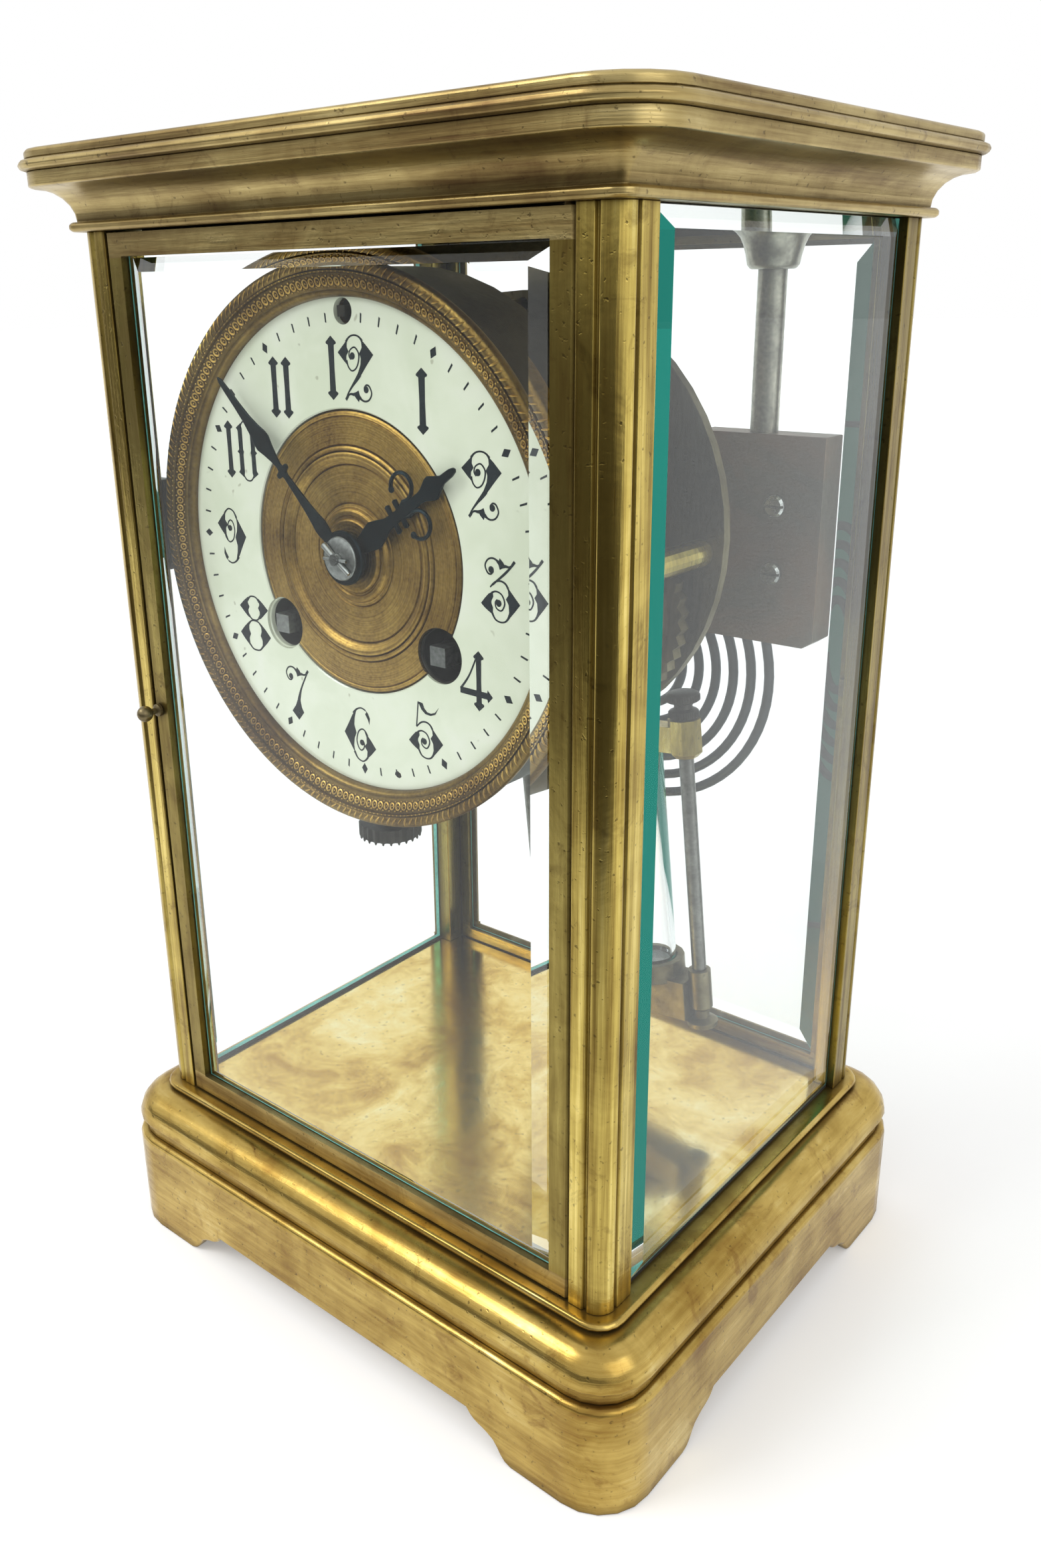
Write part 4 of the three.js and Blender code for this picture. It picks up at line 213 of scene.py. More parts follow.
pillar_brass = brass("pillar_brass", OLIVE, UPRIGHT, 34, (0.12, 0.34), crevice_darkening=0.55, seed=1.3, lined=0.58)
door_brass = brass("door_brass", UMBER, (160, 160, 12), 46, seed=4.1, lined=0.5)
rear_brass = brass("rear_brass", UMBER, UPRIGHT, 34, (0.16, 0.38), 0.6, 0.8, seed=2.9, lined=0.58)
rail_brass = brass("rail_brass", BRONZE, (12, 160, 220), 46, seed=7.7, lined=0.5)
cornice_brass = brass("cornice_brass", BRONZE, (14, 14, 420), 30, (0.22, 0.45), seed=2.2)
base_brass = brass("base_brass", GOLD, (16, 16, 260), 34, (0.14, 0.36), 0.55, seed=5.4, lined=0.3)
plate_brass = brass("plate_brass", DULL, (300, 300, 60), 50, (0.3, 0.5), seed=3.3)
knob_brass = brass("knob_brass", DULL, (200, 200, 200), 90, (0.3, 0.5), seed=8.8)
aged_brass = brass("aged_brass", OLIVE, (200, 200, 40), 50, seed=6.5)


def floor_brass():
    """The polished and blotched floor of the case."""
    g = Graph("floor_brass")
    broad = g.noise(26, 6, 0.6, 1.1, (2, 1, 0))
    small = g.noise(130, 5, 0.65, 0.6, (5, 3, 0))
    tone = g.weighed((broad, 0.65), (small, 0.35))
    colour = g.ramp(tone, [(0.35, (0.52, 0.29, 0.055)), (0.45, (0.76, 0.5, 0.13)),
                           (0.54, (0.92, 0.67, 0.24)), (0.64, (0.97, 0.8, 0.42))])
    specks = g.ranged(g.noise(700, 2, 0.5), 0.64, 0.72)
    colour = g.tinted(colour, specks, 0.35, (0.2, 0.11, 0.04))
    waves = g.math("ADD", broad, g.math("MULTIPLY", small, 0.3))
    return g.shaded(Base_Color=colour, Metallic=1.0, Roughness=g.ranged(tone, 0.35, 0.65, 0.24, 0.1),
                    Normal=g.bump(waves, 0.03, 0.002))


def gilt(name, light=1.0, turned=0.0):
    """Matt copper gold of the bezel and the dial's centre, with turning marks where asked."""
    g = Graph(name)
    broad = g.noise(45, 5, 0.6, 0.5, (3, 0, 1))
    grain = g.noise(1400, 2, 0.5)
    apart = g.add("SeparateXYZ", g.place).outputs
    rise = g.math("SUBTRACT", apart["Z"], DIAL_Z * MM)
    radius = g.math("SQRT", g.math("ADD", g.math("POWER", apart["X"], 2), g.math("POWER", rise, 2)))
    rings = g.fill(g.add("TexNoise", noise_dimensions="1D"), W=radius, Scale=2600, Detail=3).outputs["Fac"]
    tone = g.weighed((broad, 0.75 - turned * 0.4), (grain, 0.25), (rings, turned * 0.4))
    shades = [(0.34, (0.12, 0.06, 0.015)), (0.46, (0.27, 0.158, 0.038)), (0.57, (0.42, 0.262, 0.066)),
              (0.7, (0.56, 0.38, 0.105))]
    colour = g.ramp(tone, [(at, times(shade, light)) for at, shade in shades])
    # Painted shade: darker in the crevices by ambient occlusion.
    colour = g.tinted(colour, g.crevice_shade(0.0014), 0.8 / light, (0.06, 0.028, 0.01))
    height = g.weighed((grain, 1 - turned), (rings, turned))
    return g.shaded(Base_Color=colour, Metallic=1.0, Roughness=g.ranged(tone, 0.3, 0.7, 0.52, 0.36),
                    Normal=g.bump(height, 0.3, 0.00025))


def enamel():
    """Fired white enamel with a faint green cast and fine specks."""
    g = Graph("dial_enamel")
    cloud = g.noise(60, 4, 0.6, 0.4)
    colour = g.ramp(cloud, [(0.35, (0.69, 0.71, 0.55)), (0.55, (0.76, 0.77, 0.62)),
                            (0.72, (0.8, 0.79, 0.68))])
    specks = g.ranged(g.noise(420, 1, 0.4, 0, (1, 2, 3)), 0.76, 0.8)
    colour = g.tinted(colour, specks, 0.5, (0.3, 0.27, 0.18))
    # Painted shade: darker in the crevices by ambient occlusion.
    colour = g.tinted(colour, g.crevice_shade(0.0012, 0.4), 0.5, (0.3, 0.28, 0.2))
    return g.shaded(Base_Color=colour, Roughness=0.16, Coat_Weight=0.6, Coat_Roughness=0.05, IOR=1.5,
                    Normal=g.bump(g.noise(70, 3), 0.06, 0.002))


def steel(name, base, rough):
    """Bare or blued steel, finely scratched."""
    g = Graph(name)
    fine = g.noise(900, 3, 0.6)
    tone = g.weighed((g.noise(110, 4, 0.6, 0.5), 0.6), (fine, 0.4))
    colour = g.ramp(tone, [(0.34, times(base, 0.45)), (0.52, base), (0.68, times(base, 1.5))])
    # Painted shade: darker in the crevices by ambient occlusion.
    colour = g.tinted(colour, g.crevice_shade(0.002), 0.6, (0.02, 0.017, 0.014))
    return g.shaded(Base_Color=colour, Metallic=1.0, Roughness=g.ranged(tone, 0.3, 0.7, rough + 0.14, rough),
                    Normal=g.bump(fine, 0.12, 0.0003))


def painted(name, base, rough, metallic=0.0, grained=0.3, rust=0.0, specular=None):
    """Cast iron, dark drum sheet and packing: a mottled satin surface, with a little rust where asked."""
    g = Graph(name)
    grain = g.noise(1100, 3, 0.6)
    tone = g.weighed((g.noise(70, 5, 0.6, 0.4), 0.6), (grain, 0.4))
    colour = g.ramp(tone, [(0.33, times(base, 0.6)), (0.5, base), (0.68, times(base, 1.45))])
    if rust:
        stains = g.ranged(g.noise(32, 5, 0.6, 0.8, (4, 2, 7)), 0.42, 0.6)
        colour = g.tinted(colour, stains, rust, (0.26, 0.12, 0.055))
    return g.shaded(Base_Color=colour, Metallic=metallic, Specular_IOR_Level=specular,
                    Roughness=g.ranged(tone, 0.3, 0.7, rough + 0.1, rough - 0.05),
                    Normal=g.bump(grain, grained, 0.0004))


TEAL = (0.0, 0.85, 0.75)
TEAL_EDGE = (0.007, 0.2, 0.158)
SOFT_LIGHT_LEFT = (0.97, 0.99, 0.985)
MIRROR_TURNS = 2.5


def glass(name, density, tint, edge, mirror=0.4):
    """Real glass to the eye; light and soft rays pass straight through it, so the inside is lit cleanly."""
    g = Graph(name)
    smears = g.bump(g.noise((35, 35, 14), 3, 0.5, 0.8), 0.004, 0.001)
    g.shaded(Base_Color=WHITE, Roughness=0.0, IOR=1.5, Transmission_Weight=1.0, Normal=smears,
             Specular_Tint=(mirror, mirror, mirror, 1))
    # A refracted ray also counts as glossy, so a mirrored ray goes straight through only outside glass.
    path = g.add("LightPath").outputs
    inside = g.math("MODULO", path["Transmission Depth"], 2)
    outside = g.math("SUBTRACT", 1, g.math("MAXIMUM", inside, path["Is Transmission Ray"]))
    mirrored_outside = g.math("MULTIPLY", path["Is Glossy Ray"], outside)
    soft = g.math("MAXIMUM", g.rays("Shadow", "Diffuse"), mirrored_outside)
    body = g.either(soft, g.shader.outputs[0], g.clear(SOFT_LIGHT_LEFT))
    # Light mirrored on between the faces leaves after a few turns, as teal as its whole way would make it.
    side = g.add("NewGeometry").outputs["Backfacing"]
    trapped = g.math("MULTIPLY", g.math("GREATER_THAN", path["Glossy Depth"], MIRROR_TURNS), side)
    volume = g.add("VolumeAbsorption", (*tint, 1), density).outputs[0]
    g.put(volume, g.nodes["Material Output"].inputs["Volume"])
    return g.surface(g.either(trapped, body, g.clear(edge)))


clear_glass = glass("clear_glass", 7, TEAL, TEAL_EDGE)
side_glass = glass("side_glass", 7, TEAL, TEAL_EDGE, 0.25)
jar_glass = glass("jar_glass", 6, (0.2, 0.85, 0.8), (0.8, 0.9, 0.88))
floor_metal = floor_brass()
gilt_brass = gilt("gilt_brass", light=0.62)
gilt_turned = gilt("gilt_turned", light=1.2, turned=0.6)
# A lighter copy of the gilt for the bezel's raised relief: a painted highlight.
gilt_highlight = gilt("gilt_highlight", light=1.7)
dial_enamel = enamel()
ground_edge = painted("ground_edge", (0.16, 0.5, 0.44), 0.55)
figure_black = painted("figure_black", (0.008, 0.013, 0.017), 0.5, specular=0.15)
hand_blue = steel("hand_blue", (0.008, 0.016, 0.021), 0.34)
gong_blue = steel("gong_blue", (0.045, 0.053, 0.058), 0.38)
bright_steel = steel("bright_steel", (0.45, 0.45, 0.44), 0.22)
collet_steel = steel("collet_steel", (0.3, 0.3, 0.29), 0.36)
pin_steel = steel("pin_steel", (0.8, 0.8, 0.78), 0.25)
dull_steel = steel("dull_steel", (0.19, 0.185, 0.17), 0.32)
stand_steel = steel("stand_steel", (0.34, 0.32, 0.26), 0.26)
nut_steel = steel("nut_steel", (0.055, 0.05, 0.042), 0.35)
dark_drum = painted("dark_drum", (0.05, 0.042, 0.034), 0.42, 0.5, 0.06)
# Near-black with almost no gloss: painted shade in the winding holes and in the screw slots.
painted_shade_black = painted("painted_shade_black", (0.006, 0.005, 0.005), 0.6, grained=0.05, specular=0.05)
iron_block = painted("iron_block", (0.11, 0.09, 0.06), 0.42, 0.7, 0.12, 0.5)
packing = painted("packing", (0.018, 0.015, 0.012), 0.8)

SLOT_MATERIALS = {
    "golden_brass": base_brass,
    "aged_brass": aged_brass,
    "clear_glass": clear_glass,
    "dark_packing": packing,
    "gilt_brass": gilt_brass,
    "dark_drum": dark_drum,
    "enamel": dial_enamel,
    "plate_brass": plate_brass,
    "iron_block": iron_block,
    "steel": dull_steel,
    "blued_steel": gong_blue,
}
NODE_MATERIALS = {node: material for material, nodes in (
    (floor_metal, "floor_plate"),
    (cornice_brass, "cornice_lower cornice_bead top_cap"),
    (pillar_brass, "pillar_front_left pillar_front_right"),
    (rear_brass, "pillar_rear_left pillar_rear_right"),
    (door_brass, "front_door_frame rear_door_frame"),
    (collet_steel, "going_arbor strike_arbor"),
    (aged_brass, "movement_pillar_1 movement_pillar_2 movement_pillar_3 movement_pillar_4"),
    (knob_brass, "pendulum_bottom_bar"),
    (bright_steel, "gong_screw_1 gong_screw_2 hand_collet centre_arbor"),
    (hand_blue, "minute_hand hour_hand"),
    (nut_steel, "thumbscrew regulator_arbor"),
) for node in nodes.split()}
slot_of = {part["node"]: part["material_slot"] for part in frame["record"]["subparts"]}
bodies = frame["record"]["behaviour"]["bodies"]
body_of = {node: body for body, members in bodies.items() for node in members}


# Meshes

SAME_PLACE = 1e-7
WELD = 0.000004
ON_AXIS = 1e-6


def added(name, data):
    """A new object in the scene."""
    item = bpy.data.objects.new(name, data)
    bpy.context.scene.collection.objects.link(item)
    return item


def moved(x, y, z):
    return Matrix.Translation((x * MM, y * MM, z * MM))


def block(work, place, wide, deep, high):
    size = Matrix.Diagonal((wide * MM, deep * MM, high * MM, 1))
    bmesh.ops.create_cube(work, size=1, matrix=place @ size)


def ball(work, place, radius=1, fineness=1):
    bmesh.ops.create_icosphere(work, subdivisions=fineness, radius=radius, matrix=place)


def cut(work, place, normal):
    everything = work.verts[:] + work.edges[:] + work.faces[:]
    bmesh.ops.bisect_plane(work, geom=everything, plane_co=place, plane_no=normal)


def take_in(work, mesh):
    work.from_mesh(mesh)
    bpy.data.meshes.remove(mesh)


def soften(piece, width, degrees, harden):
    """Rounds the edges sharper than an angle, by a width in millimetres."""
    bevel = piece.modifiers.new("edges", "BEVEL")
    bevel.width = width * MM
    bevel.segments = 2
    bevel.limit_method = "ANGLE"
    bevel.angle_limit = math.radians(degrees)
    bevel.harden_normals = harden


def weigh_normals(piece):
    piece.modifiers.new("normals", "WEIGHTED_NORMAL").keep_sharp = True


def knurl(work, count, middle, radius, heights, girths, sides):
    """Upright ridges round a rim."""
    for k in range(count):
        angle = 2 * math.pi * k / count
        x, y = middle[0] + radius * math.cos(angle), middle[1] + radius * math.sin(angle)
        tube(work, [(x, y, height) for height in heights], girths, sides)


def finished(name, shape, material, body, slot=None, stands_for=(), sharp=30):
    """Makes a piece of a bmesh or a mesh, shades it and lets it ride on its body."""
    mesh = from_bmesh(shape, name) if isinstance(shape, bmesh.types.BMesh) else shape
    mesh.materials.clear()
    mesh.materials.append(material)
    mesh.shade_smooth()
    mesh.set_sharp_from_angle(angle=math.radians(sharp))
    piece = added(name, mesh)
    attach(piece, body)
    if stands_for:
        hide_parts(*stands_for)
    return piece


def from_bmesh(work, name):
    mesh = bpy.data.meshes.new(name)
    bmesh.ops.recalc_face_normals(work, faces=work.faces)
    work.to_mesh(mesh)
    work.free()
    return mesh


def spin(work, profile, axis, at, segments):
    """Turns a closed profile of [radius, along] in millimetres round an axis through at."""
    rings = []
    for radius, along in profile:
        ring = []
        count = 1 if radius < ON_AXIS else segments
        for i in range(count):
            angle = 2 * math.pi * i / segments
            a, b = radius * math.cos(angle), radius * math.sin(angle)
            place = (a, along, b) if axis == "y" else (a, b, along)
            ring.append(work.verts.new([(p + q) * MM for p, q in zip(place, at)]))
        rings.append(ring)
    closed = min(profile[0][0], profile[-1][0]) > ON_AXIS
    pairs = list(zip(rings, rings[1:])) + ([(rings[-1], rings[0])] if closed else [])
    for low, high in pairs:
        for i in range(segments):
            j = (i + 1) % segments
            corners = [low[i % len(low)], low[j % len(low)], high[j % len(high)], high[i % len(high)]]
            corners = [v for k, v in enumerate(corners) if v not in corners[:k]]
            if len(corners) > 2:
                work.faces.new(corners)


def lathe(name, profile, material, body, segments, axis="y", at=(0, 0, DIAL_Z), **more):
    """A turned piece; without axis and at it is one of the dial's."""
    work = bmesh.new()
    spin(work, profile, axis, at, segments)
    return finished(name, work, material, body, **more)


def applied(piece):
    """Bakes a piece's modifiers into its mesh."""
    bpy.context.view_layer.update()
    seen = bpy.context.evaluated_depsgraph_get()
    mesh = bpy.data.meshes.new_from_object(piece.evaluated_get(seen))
    old = piece.data
    piece.modifiers.clear()
    piece.data = mesh
    bpy.data.meshes.remove(old)
    return piece


def refined(node, width, levels=()):
    """Stands for a CAD node: a copy with its flat faces joined up and its edges softly rounded."""
    work = bmesh.new()
    work.from_mesh(frame["nodes"][node].data)
    bmesh.ops.remove_doubles(work, verts=work.verts, dist=WELD)
    bmesh.ops.dissolve_limit(work, angle_limit=math.radians(0.4), verts=work.verts, edges=work.edges)
    for level in levels:
        cut(work, (0, 0, level * MM), (0, 0, 1))
    slot = slot_of[node]
    material = NODE_MATERIALS.get(node, SLOT_MATERIALS[slot])
    piece = finished(node + "_fine", work, material, body_of[node], slot, (node,), SHARP)
    soften(piece, width, SHARP, True)
    weigh_normals(piece)
    return applied(piece)


# Every CAD node first gets its own finish.
for name, node in frame["nodes"].items():
    node.data.materials.clear()
    node.data.materials.append(NODE_MATERIALS.get(name, SLOT_MATERIALS[slot_of[name]]))
    node.data.shade_smooth()
    node.data.set_sharp_from_angle(angle=math.radians(SHARP))

ROUNDED = {
    "base_plinth": 0.5, "base_moulding": 0.25, "floor_plate": 0.2, "cornice_lower": 0.3, "cornice_bead": 0.2,
    "top_cap": 0.25, "pillar_front_left": 0.2, "pillar_front_right": 0.2, "pillar_rear_left": 0.2,
    "pillar_rear_right": 0.2, "front_door_frame": 0.2, "rear_door_frame": 0.2, "gong_block": 0.5,
    "bracket_left": 0.25, "bracket_right": 0.25, "suspension_cock": 0.3, "pendulum_top_bar": 0.3,
    "pendulum_bottom_bar": 0.35, "front_plate": 0.2, "back_plate": 0.3, "drum": 0.25, "going_arbor": 0.2,
    "strike_arbor": 0.2, "crutch": 0.15, "hammer": 0.2,
}
RAIL_LEVELS = (47.1, 248.4)
for name, width in ROUNDED.items():
    framed = "door_frame" in name
    piece = refined(name, width, levels=RAIL_LEVELS if framed else ())
    if framed:
        piece.data.materials.append(rail_brass)
        for face in piece.data.polygons:
            face.material_index = int(not RAIL_LEVELS[0] * MM < face.center.z < RAIL_LEVELS[1] * MM)


def pane(node, axis, across, along, depth, land, material=clear_glass):
    """A bevelled pane with a thin land under the frame; its narrow edges are ground and teal."""
    low, high = (Vector(corner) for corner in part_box(node))
    middle, half = (low + high) / 2, (high - low) / 2
    out = 1 if middle[axis] > 0 else -1
    work = bmesh.new()
    loops = []
    for inset_across, inset_along, back in (
            (across, along, 0), (land, land, depth), (0, 0, depth), (0, 0, None)):
        loop = []
        for side, rise in ((-1, -1), (1, -1), (1, 1), (-1, 1)):
            corner = middle.copy()
            corner[1 - axis] += side * (half[1 - axis] - inset_across * MM)
            corner.z += rise * (half.z - inset_along * MM)
            corner[axis] += -out * half[axis] if back is None else out * (half[axis] - back * MM)
            loop.append(work.verts.new(corner))
        loops.append(loop)
    work.faces.new(loops[0])
    work.faces.new(loops[-1])
    for near, far in zip(loops, loops[1:]):
        for k in range(4):
            if (near[k].co - far[k].co).length > SAME_PLACE:
                work.faces.new([near[k], near[(k + 1) % 4], far[(k + 1) % 4], far[k]])
    bmesh.ops.remove_doubles(work, verts=work.verts, dist=SAME_PLACE)
    piece = finished(node + "_ground", work, material, body_of[node], "clear_glass", (node,), 5)
    piece.data.materials.append(ground_edge)
    for face in piece.data.polygons:
        face.material_index = int(abs(face.normal[axis]) < 0.05)


pane("front_door_glass", 1, 6.0, 4.4, 2.3, 1.5)
pane("rear_door_glass", 1, 4.6, 4.6, 2.4, 0.0)
for name in ("side_glass_left", "side_glass_right"):
    pane(name, 0, 4.6, 3.6, 1.5, 0.0, side_glass)


def polish_floor():
    """The floor plate's top is polished and mottled only inside the glass."""
    piece = bpy.data.objects["floor_plate_fine"]
    piece.data.materials.clear()
    piece.data.materials.append(base_brass)
    piece.data.materials.append(floor_metal)
    work = bmesh.new()
    work.from_mesh(piece.data)
    for across, half in ((0, INNER_X), (1, INNER_Y)):
        for side in (-1, 1):
            normal = [0, 0, 0]
            normal[across] = side
            spot = [0, 0, 0]
            spot[across] = side * half * MM
            cut(work, spot, normal)
    for face in work.faces:
        middle = face.calc_center_median()
        inside = abs(middle.x) < INNER_X * MM and abs(middle.y) < INNER_Y * MM
        face.material_index = int(inside and face.normal.z > 0.9)
    work.to_mesh(piece.data)
    work.free()
    stale = piece.data.attributes.get("custom_normal")
    if stale:
        piece.data.attributes.remove(stale)
    piece.data.set_sharp_from_angle(angle=math.radians(SHARP))
    weigh_normals(piece)
    applied(piece)


polish_floor()


def door_gap_shade(name, side):
    """A near-black strip under the ceiling, which the closed door meets: painted shade in the gap above the
    door.
    """
    work = bmesh.new()
    lower, upper, near, far = 252.0, CEILING_Z, 51.0, 52.4
    place = Matrix.Translation((0, side * (near + far) / 2 * MM, (lower + upper) / 2 * MM))
    block(work, place, 112, far - near, upper - lower)
    bmesh.ops.bevel(work, geom=work.edges[:], offset=0.3 * MM, segments=2, affect="EDGES")
    finished(name, work, packing, "case", "dark_packing")


door_gap_shade("front_door_stop", -1)
door_gap_shade("rear_door_stop", 1)


# Dial

def ring_of(radius, count):
    """Angles and places round the dial, clockwise from the top."""
    for i in range(count):
        angle = 2 * math.pi * i / count
        yield angle, radius * math.sin(angle), DIAL_Z + radius * math.cos(angle)


lathe("bezel_ring", [
    (50.0, -47.0), (50.1, -47.9), (50.4, -48.5), (50.8, -48.75), (51.2, -48.8), (51.4, -49.15),
    (51.8, -49.3), (54.1, -50.05), (54.35, -50.05), (54.5, -50.5), (54.8, -50.55), (54.95, -50.25),
    (55.2, -50.45), (55.6, -50.65), (56.3, -50.68), (56.9, -50.5), (57.25, -50.1), (57.3, -49.4),
    (57.2, -48.7), (56.9, -48.0), (53.3, -48.0), (53.3, -47.0),
], gilt_brass, "case", 256, slot="gilt_brass", stands_for=("bezel",), sharp=38)


def bezel_ornament():
    """Low cast relief: ring punches with beads, a beaded line, and slanted leaves on the outer slope."""
    work = bmesh.new()
    chance = random.Random(7)
    slope = math.atan2(0.75, 2.2)
    for angle, x, z in ring_of(52.85, 188):
        place = moved(x, -49.72, z) @ (Matrix.Rotation(angle, 4, "Y") @ Matrix.Rotation(slope, 4, "X"))
        size = chance.uniform(0.58, 0.68)
        circle = [(size * math.cos(math.radians(a)), 0, 1.15 * size * math.sin(math.radians(a)))
                  for a in range(0, 361, 36)]
        tube(work, circle, [0.22] * 11, 5, place)
        for across, up, radius in ((0, 0, 0.24), (0.88, 1.0, 0.26), (0.88, -1.0, 0.2)):
            ball(work, place @ (moved(across, 0.05, up) @ Matrix.Scale(radius * MM, 4)))
    for angle, x, z in ring_of(55.95, 210):
        tilt = Matrix.Rotation(chance.uniform(-0.25, 0.25), 4, "Y")
        place = moved(x, -50.66, z) @ Matrix.Rotation(angle, 4, "Y") @ tilt
        leaf = [(-0.6, 0.12, -0.75), (-0.35, 0.0, -0.4), (0, -0.04, 0), (0.34, 0.02, 0.45),
                (0.66, 0.28, 0.95)]
        size = chance.uniform(0.7, 1.15)
        tube(work, leaf, [girth * size for girth in (0.1, 0.2, 0.25, 0.2, 0.1)], 5, place)
    for angle, x, z in ring_of(54.65, 300):
        ball(work, moved(x, -50.46, z), 0.2 * MM)
    # The relief takes the lighter gilt copy: a painted highlight on the raised work.
    finished("bezel_ornament", work, gilt_highlight, "case", "gilt_brass", sharp=60)


def tube(work, points, radii, sides, place=Matrix.Identity(4)):
    """A round tube along points in millimetres, with a radius at each; its path lies across Y."""
    rings = []
    path = [Vector(p) for p in points]
    for i, (point, radius) in enumerate(zip(path, radii)):
        along = (path[min(i + 1, len(path) - 1)] - path[max(i - 1, 0)]).normalized()
        side = along.cross(Vector((0, 1, 0))).normalized()
        other = side.cross(along).normalized()
        ring = []
        for k in range(sides):
            angle = 2 * math.pi * k / sides
            spoke = math.cos(angle) * side + math.sin(angle) * other
            ring.append(work.verts.new(place @ ((point + radius * spoke) * MM)))
        rings.append(ring)
    for low, high in zip(rings, rings[1:]):
        for k in range(sides):
            work.faces.new([low[k], low[(k + 1) % sides], high[(k + 1) % sides], high[k]])
    work.faces.new(rings[0])
    work.faces.new(rings[-1])


bezel_ornament()


def with_holes(piece, holes):
    """Cuts round holes [x, z, radius] through a dial piece, along Y."""
    work = bmesh.new()
    front, back = -60, -40
    for x, z, radius in holes:
        spin(work, [(0, front), (radius, front), (radius, back), (0, back)], "y", (x, 0, z), 64)
    cutter = added("cutter", from_bmesh(work, "cutter"))
    modifier = piece.modifiers.new("holes", "BOOLEAN")
    modifier.object = cutter
    modifier.solver = "EXACT"
    applied(piece)
    bpy.data.objects.remove(cutter)
    piece.data.set_sharp_from_angle(angle=math.radians(35))


HOLES = [(side * WINDING[0], DIAL_Z + WINDING[1], 5.75) for side in (-1, 1)]
REGULATOR_Z = DIAL_Z + 47.4
dial_middle = lathe("dial_centre_milled", [
    (3.5, -47.9), (6.6, -47.95), (7.2, -48.1), (7.6, -47.8), (7.8, -47.35), (8.1, -47.35), (8.4, -47.65),
    (9.1, -47.7), (9.5, -47.4), (9.8, -46.95), (10.4, -46.8), (10.6, -46.5), (10.85, -46.78), (18.0, -46.72),
    (18.25, -46.4), (18.5, -46.8), (18.9, -46.95), (19.3, -47.35), (19.8, -47.65), (20.3, -47.72),
    (20.75, -47.5), (20.95, -47.1), (21.2, -47.5), (21.6, -47.6), (21.95, -47.4), (22.15, -46.95),
    (22.4, -47.26), (27.5, -47.02), (27.7, -46.8), (27.9, -47.02), (28.4, -46.95), (28.7, -46.7),
    (28.8, -46.3), (28.8, -45.6), (52.8, -45.6), (52.8, -44.6), (3.5, -44.6),
], gilt_turned, "case", 192, slot="gilt_brass", stands_for=("dial_centre",), sharp=28)
with_holes(dial_middle, HOLES + [(0, REGULATOR_Z, 2.55)])
enamel_ring = lathe("dial_enamel_ring", [
    (29.1, -46.75), (29.35, -47.0), (52.6, -47.0), (53.0, -46.7), (53.0, -45.65), (29.1, -45.65),
], dial_enamel, "case", 192, slot="enamel", stands_for=("dial_ring",), sharp=35)
with_holes(enamel_ring, HOLES + [(0, REGULATOR_Z, 2.5)])


# Painted figures, in millimetres from each figure's own middle

def smoothed(points):
    """A curve through the points, each [x, z, width]."""
    steps = 6
    found = []
    padded = [points[0], *points, points[-1]]
    for a, b, c, d in zip(padded, padded[1:], padded[2:], padded[3:]):
        for step in range(steps):
            t = step / steps
            found.append([
                0.5 * (2 * q + (r - p) * t + (2 * p - 5 * q + 4 * r - s) * t * t
                       + (3 * q - p - 3 * r + s) * t ** 3)
                for p, q, r, s in zip(a, b, c, d)
            ])
    found.append(list(points[-1]))
    return found


def stroke(points):
    """The outline of a pen stroke through [x, z, width] points."""
    line = smoothed(points)
    left, right = [], []
    for i, (x, z, width) in enumerate(line):
        ax, az, _ = line[max(i - 1, 0)]
        bx, bz, _ = line[min(i + 1, len(line) - 1)]
        length = math.hypot(bx - ax, bz - az) or 1
        nx, nz = -(bz - az) / length * width / 2, (bx - ax) / length * width / 2
        left.append((x + nx, z + nz))
        right.append((x - nx, z - nz))
    return [left + right[::-1]]


def disc(x, z, radius):
    turns = [2 * math.pi * i / 22 for i in range(22)]
    return [[(x + radius * math.cos(turn), z + radius * math.sin(turn)) for turn in turns]]


def bar(x, half=0.82):
    """Upright bar with an arrow head at each end and a slight waist."""
    side = [
        (0, 6.1), (half + 0.62, 4.9), (half + 0.55, 4.6), (half, 4.35), (half * 0.88, 0), (half, -4.35),
        (half + 0.55, -4.6), (half + 0.62, -4.9), (0, -6.1),
    ]
    return [[(x + a, b) for a, b in side] + [(x - a, b) for a, b in side[-2:0:-1]]]


def placed(groups, x=0.0, z=0.0, turned=False):
    """Outlines moved by x and z, and turned upside down first where asked."""
    sign = -1 if turned else 1
    return [[[(x + sign * a, z + sign * b) for a, b in loop] for loop in group] for group in groups]


def low_bowl():
    """The bowl of the 3 and the 5: two black wings, an arch over a spiral, and a round foot."""
    left = [(-4.8, -3.0), (-3.9, -1.95), (-2.9, -0.95), (-1.9, -0.45), (-1.75, -1.4), (-2.2, -2.2),
            (-2.25, -2.7), (-1.85, -3.5), (-1.95, -4.8), (-2.9, -4.35), (-3.9, -3.75)]
    right = [(4.7, -2.2), (3.3, -0.8), (2.2, 0.35), (1.4, 1.2), (1.8, 0.2), (1.9, -0.7), (1.3, -1.5),
             (1.95, -2.5), (2.05, -4.0), (1.4, -5.6), (2.3, -4.9), (3.5, -3.6)]
    return [
        [left], [right],
        stroke([[-2.5, 0.35, 0.28], [-1.3, 1.45, 0.36], [0.0, 1.8, 0.36], [1.2, 1.4, 0.4], [1.9, 0.5, 0.5]]),
        stroke([[-2.1, -4.5, 0.5], [-1.3, -5.7, 0.36], [0.0, -6.1, 0.32], [1.2, -5.8, 0.36],
                [2.0, -4.9, 0.5]]),
        stroke([[-2.2, -0.7, 0.4], [-1.06, -0.3, 0.32], [0.3, -0.8, 0.32], [1.0, -2.3, 0.36],
                [0.5, -3.6, 0.32], [-0.2, -3.9, 0.3], [-1.1, -3.4, 0.3], [-1.25, -2.4, 0.34],
                [-0.7, -1.9, 0.5]]),
        disc(-0.45, -2.5, 0.68),
    ]


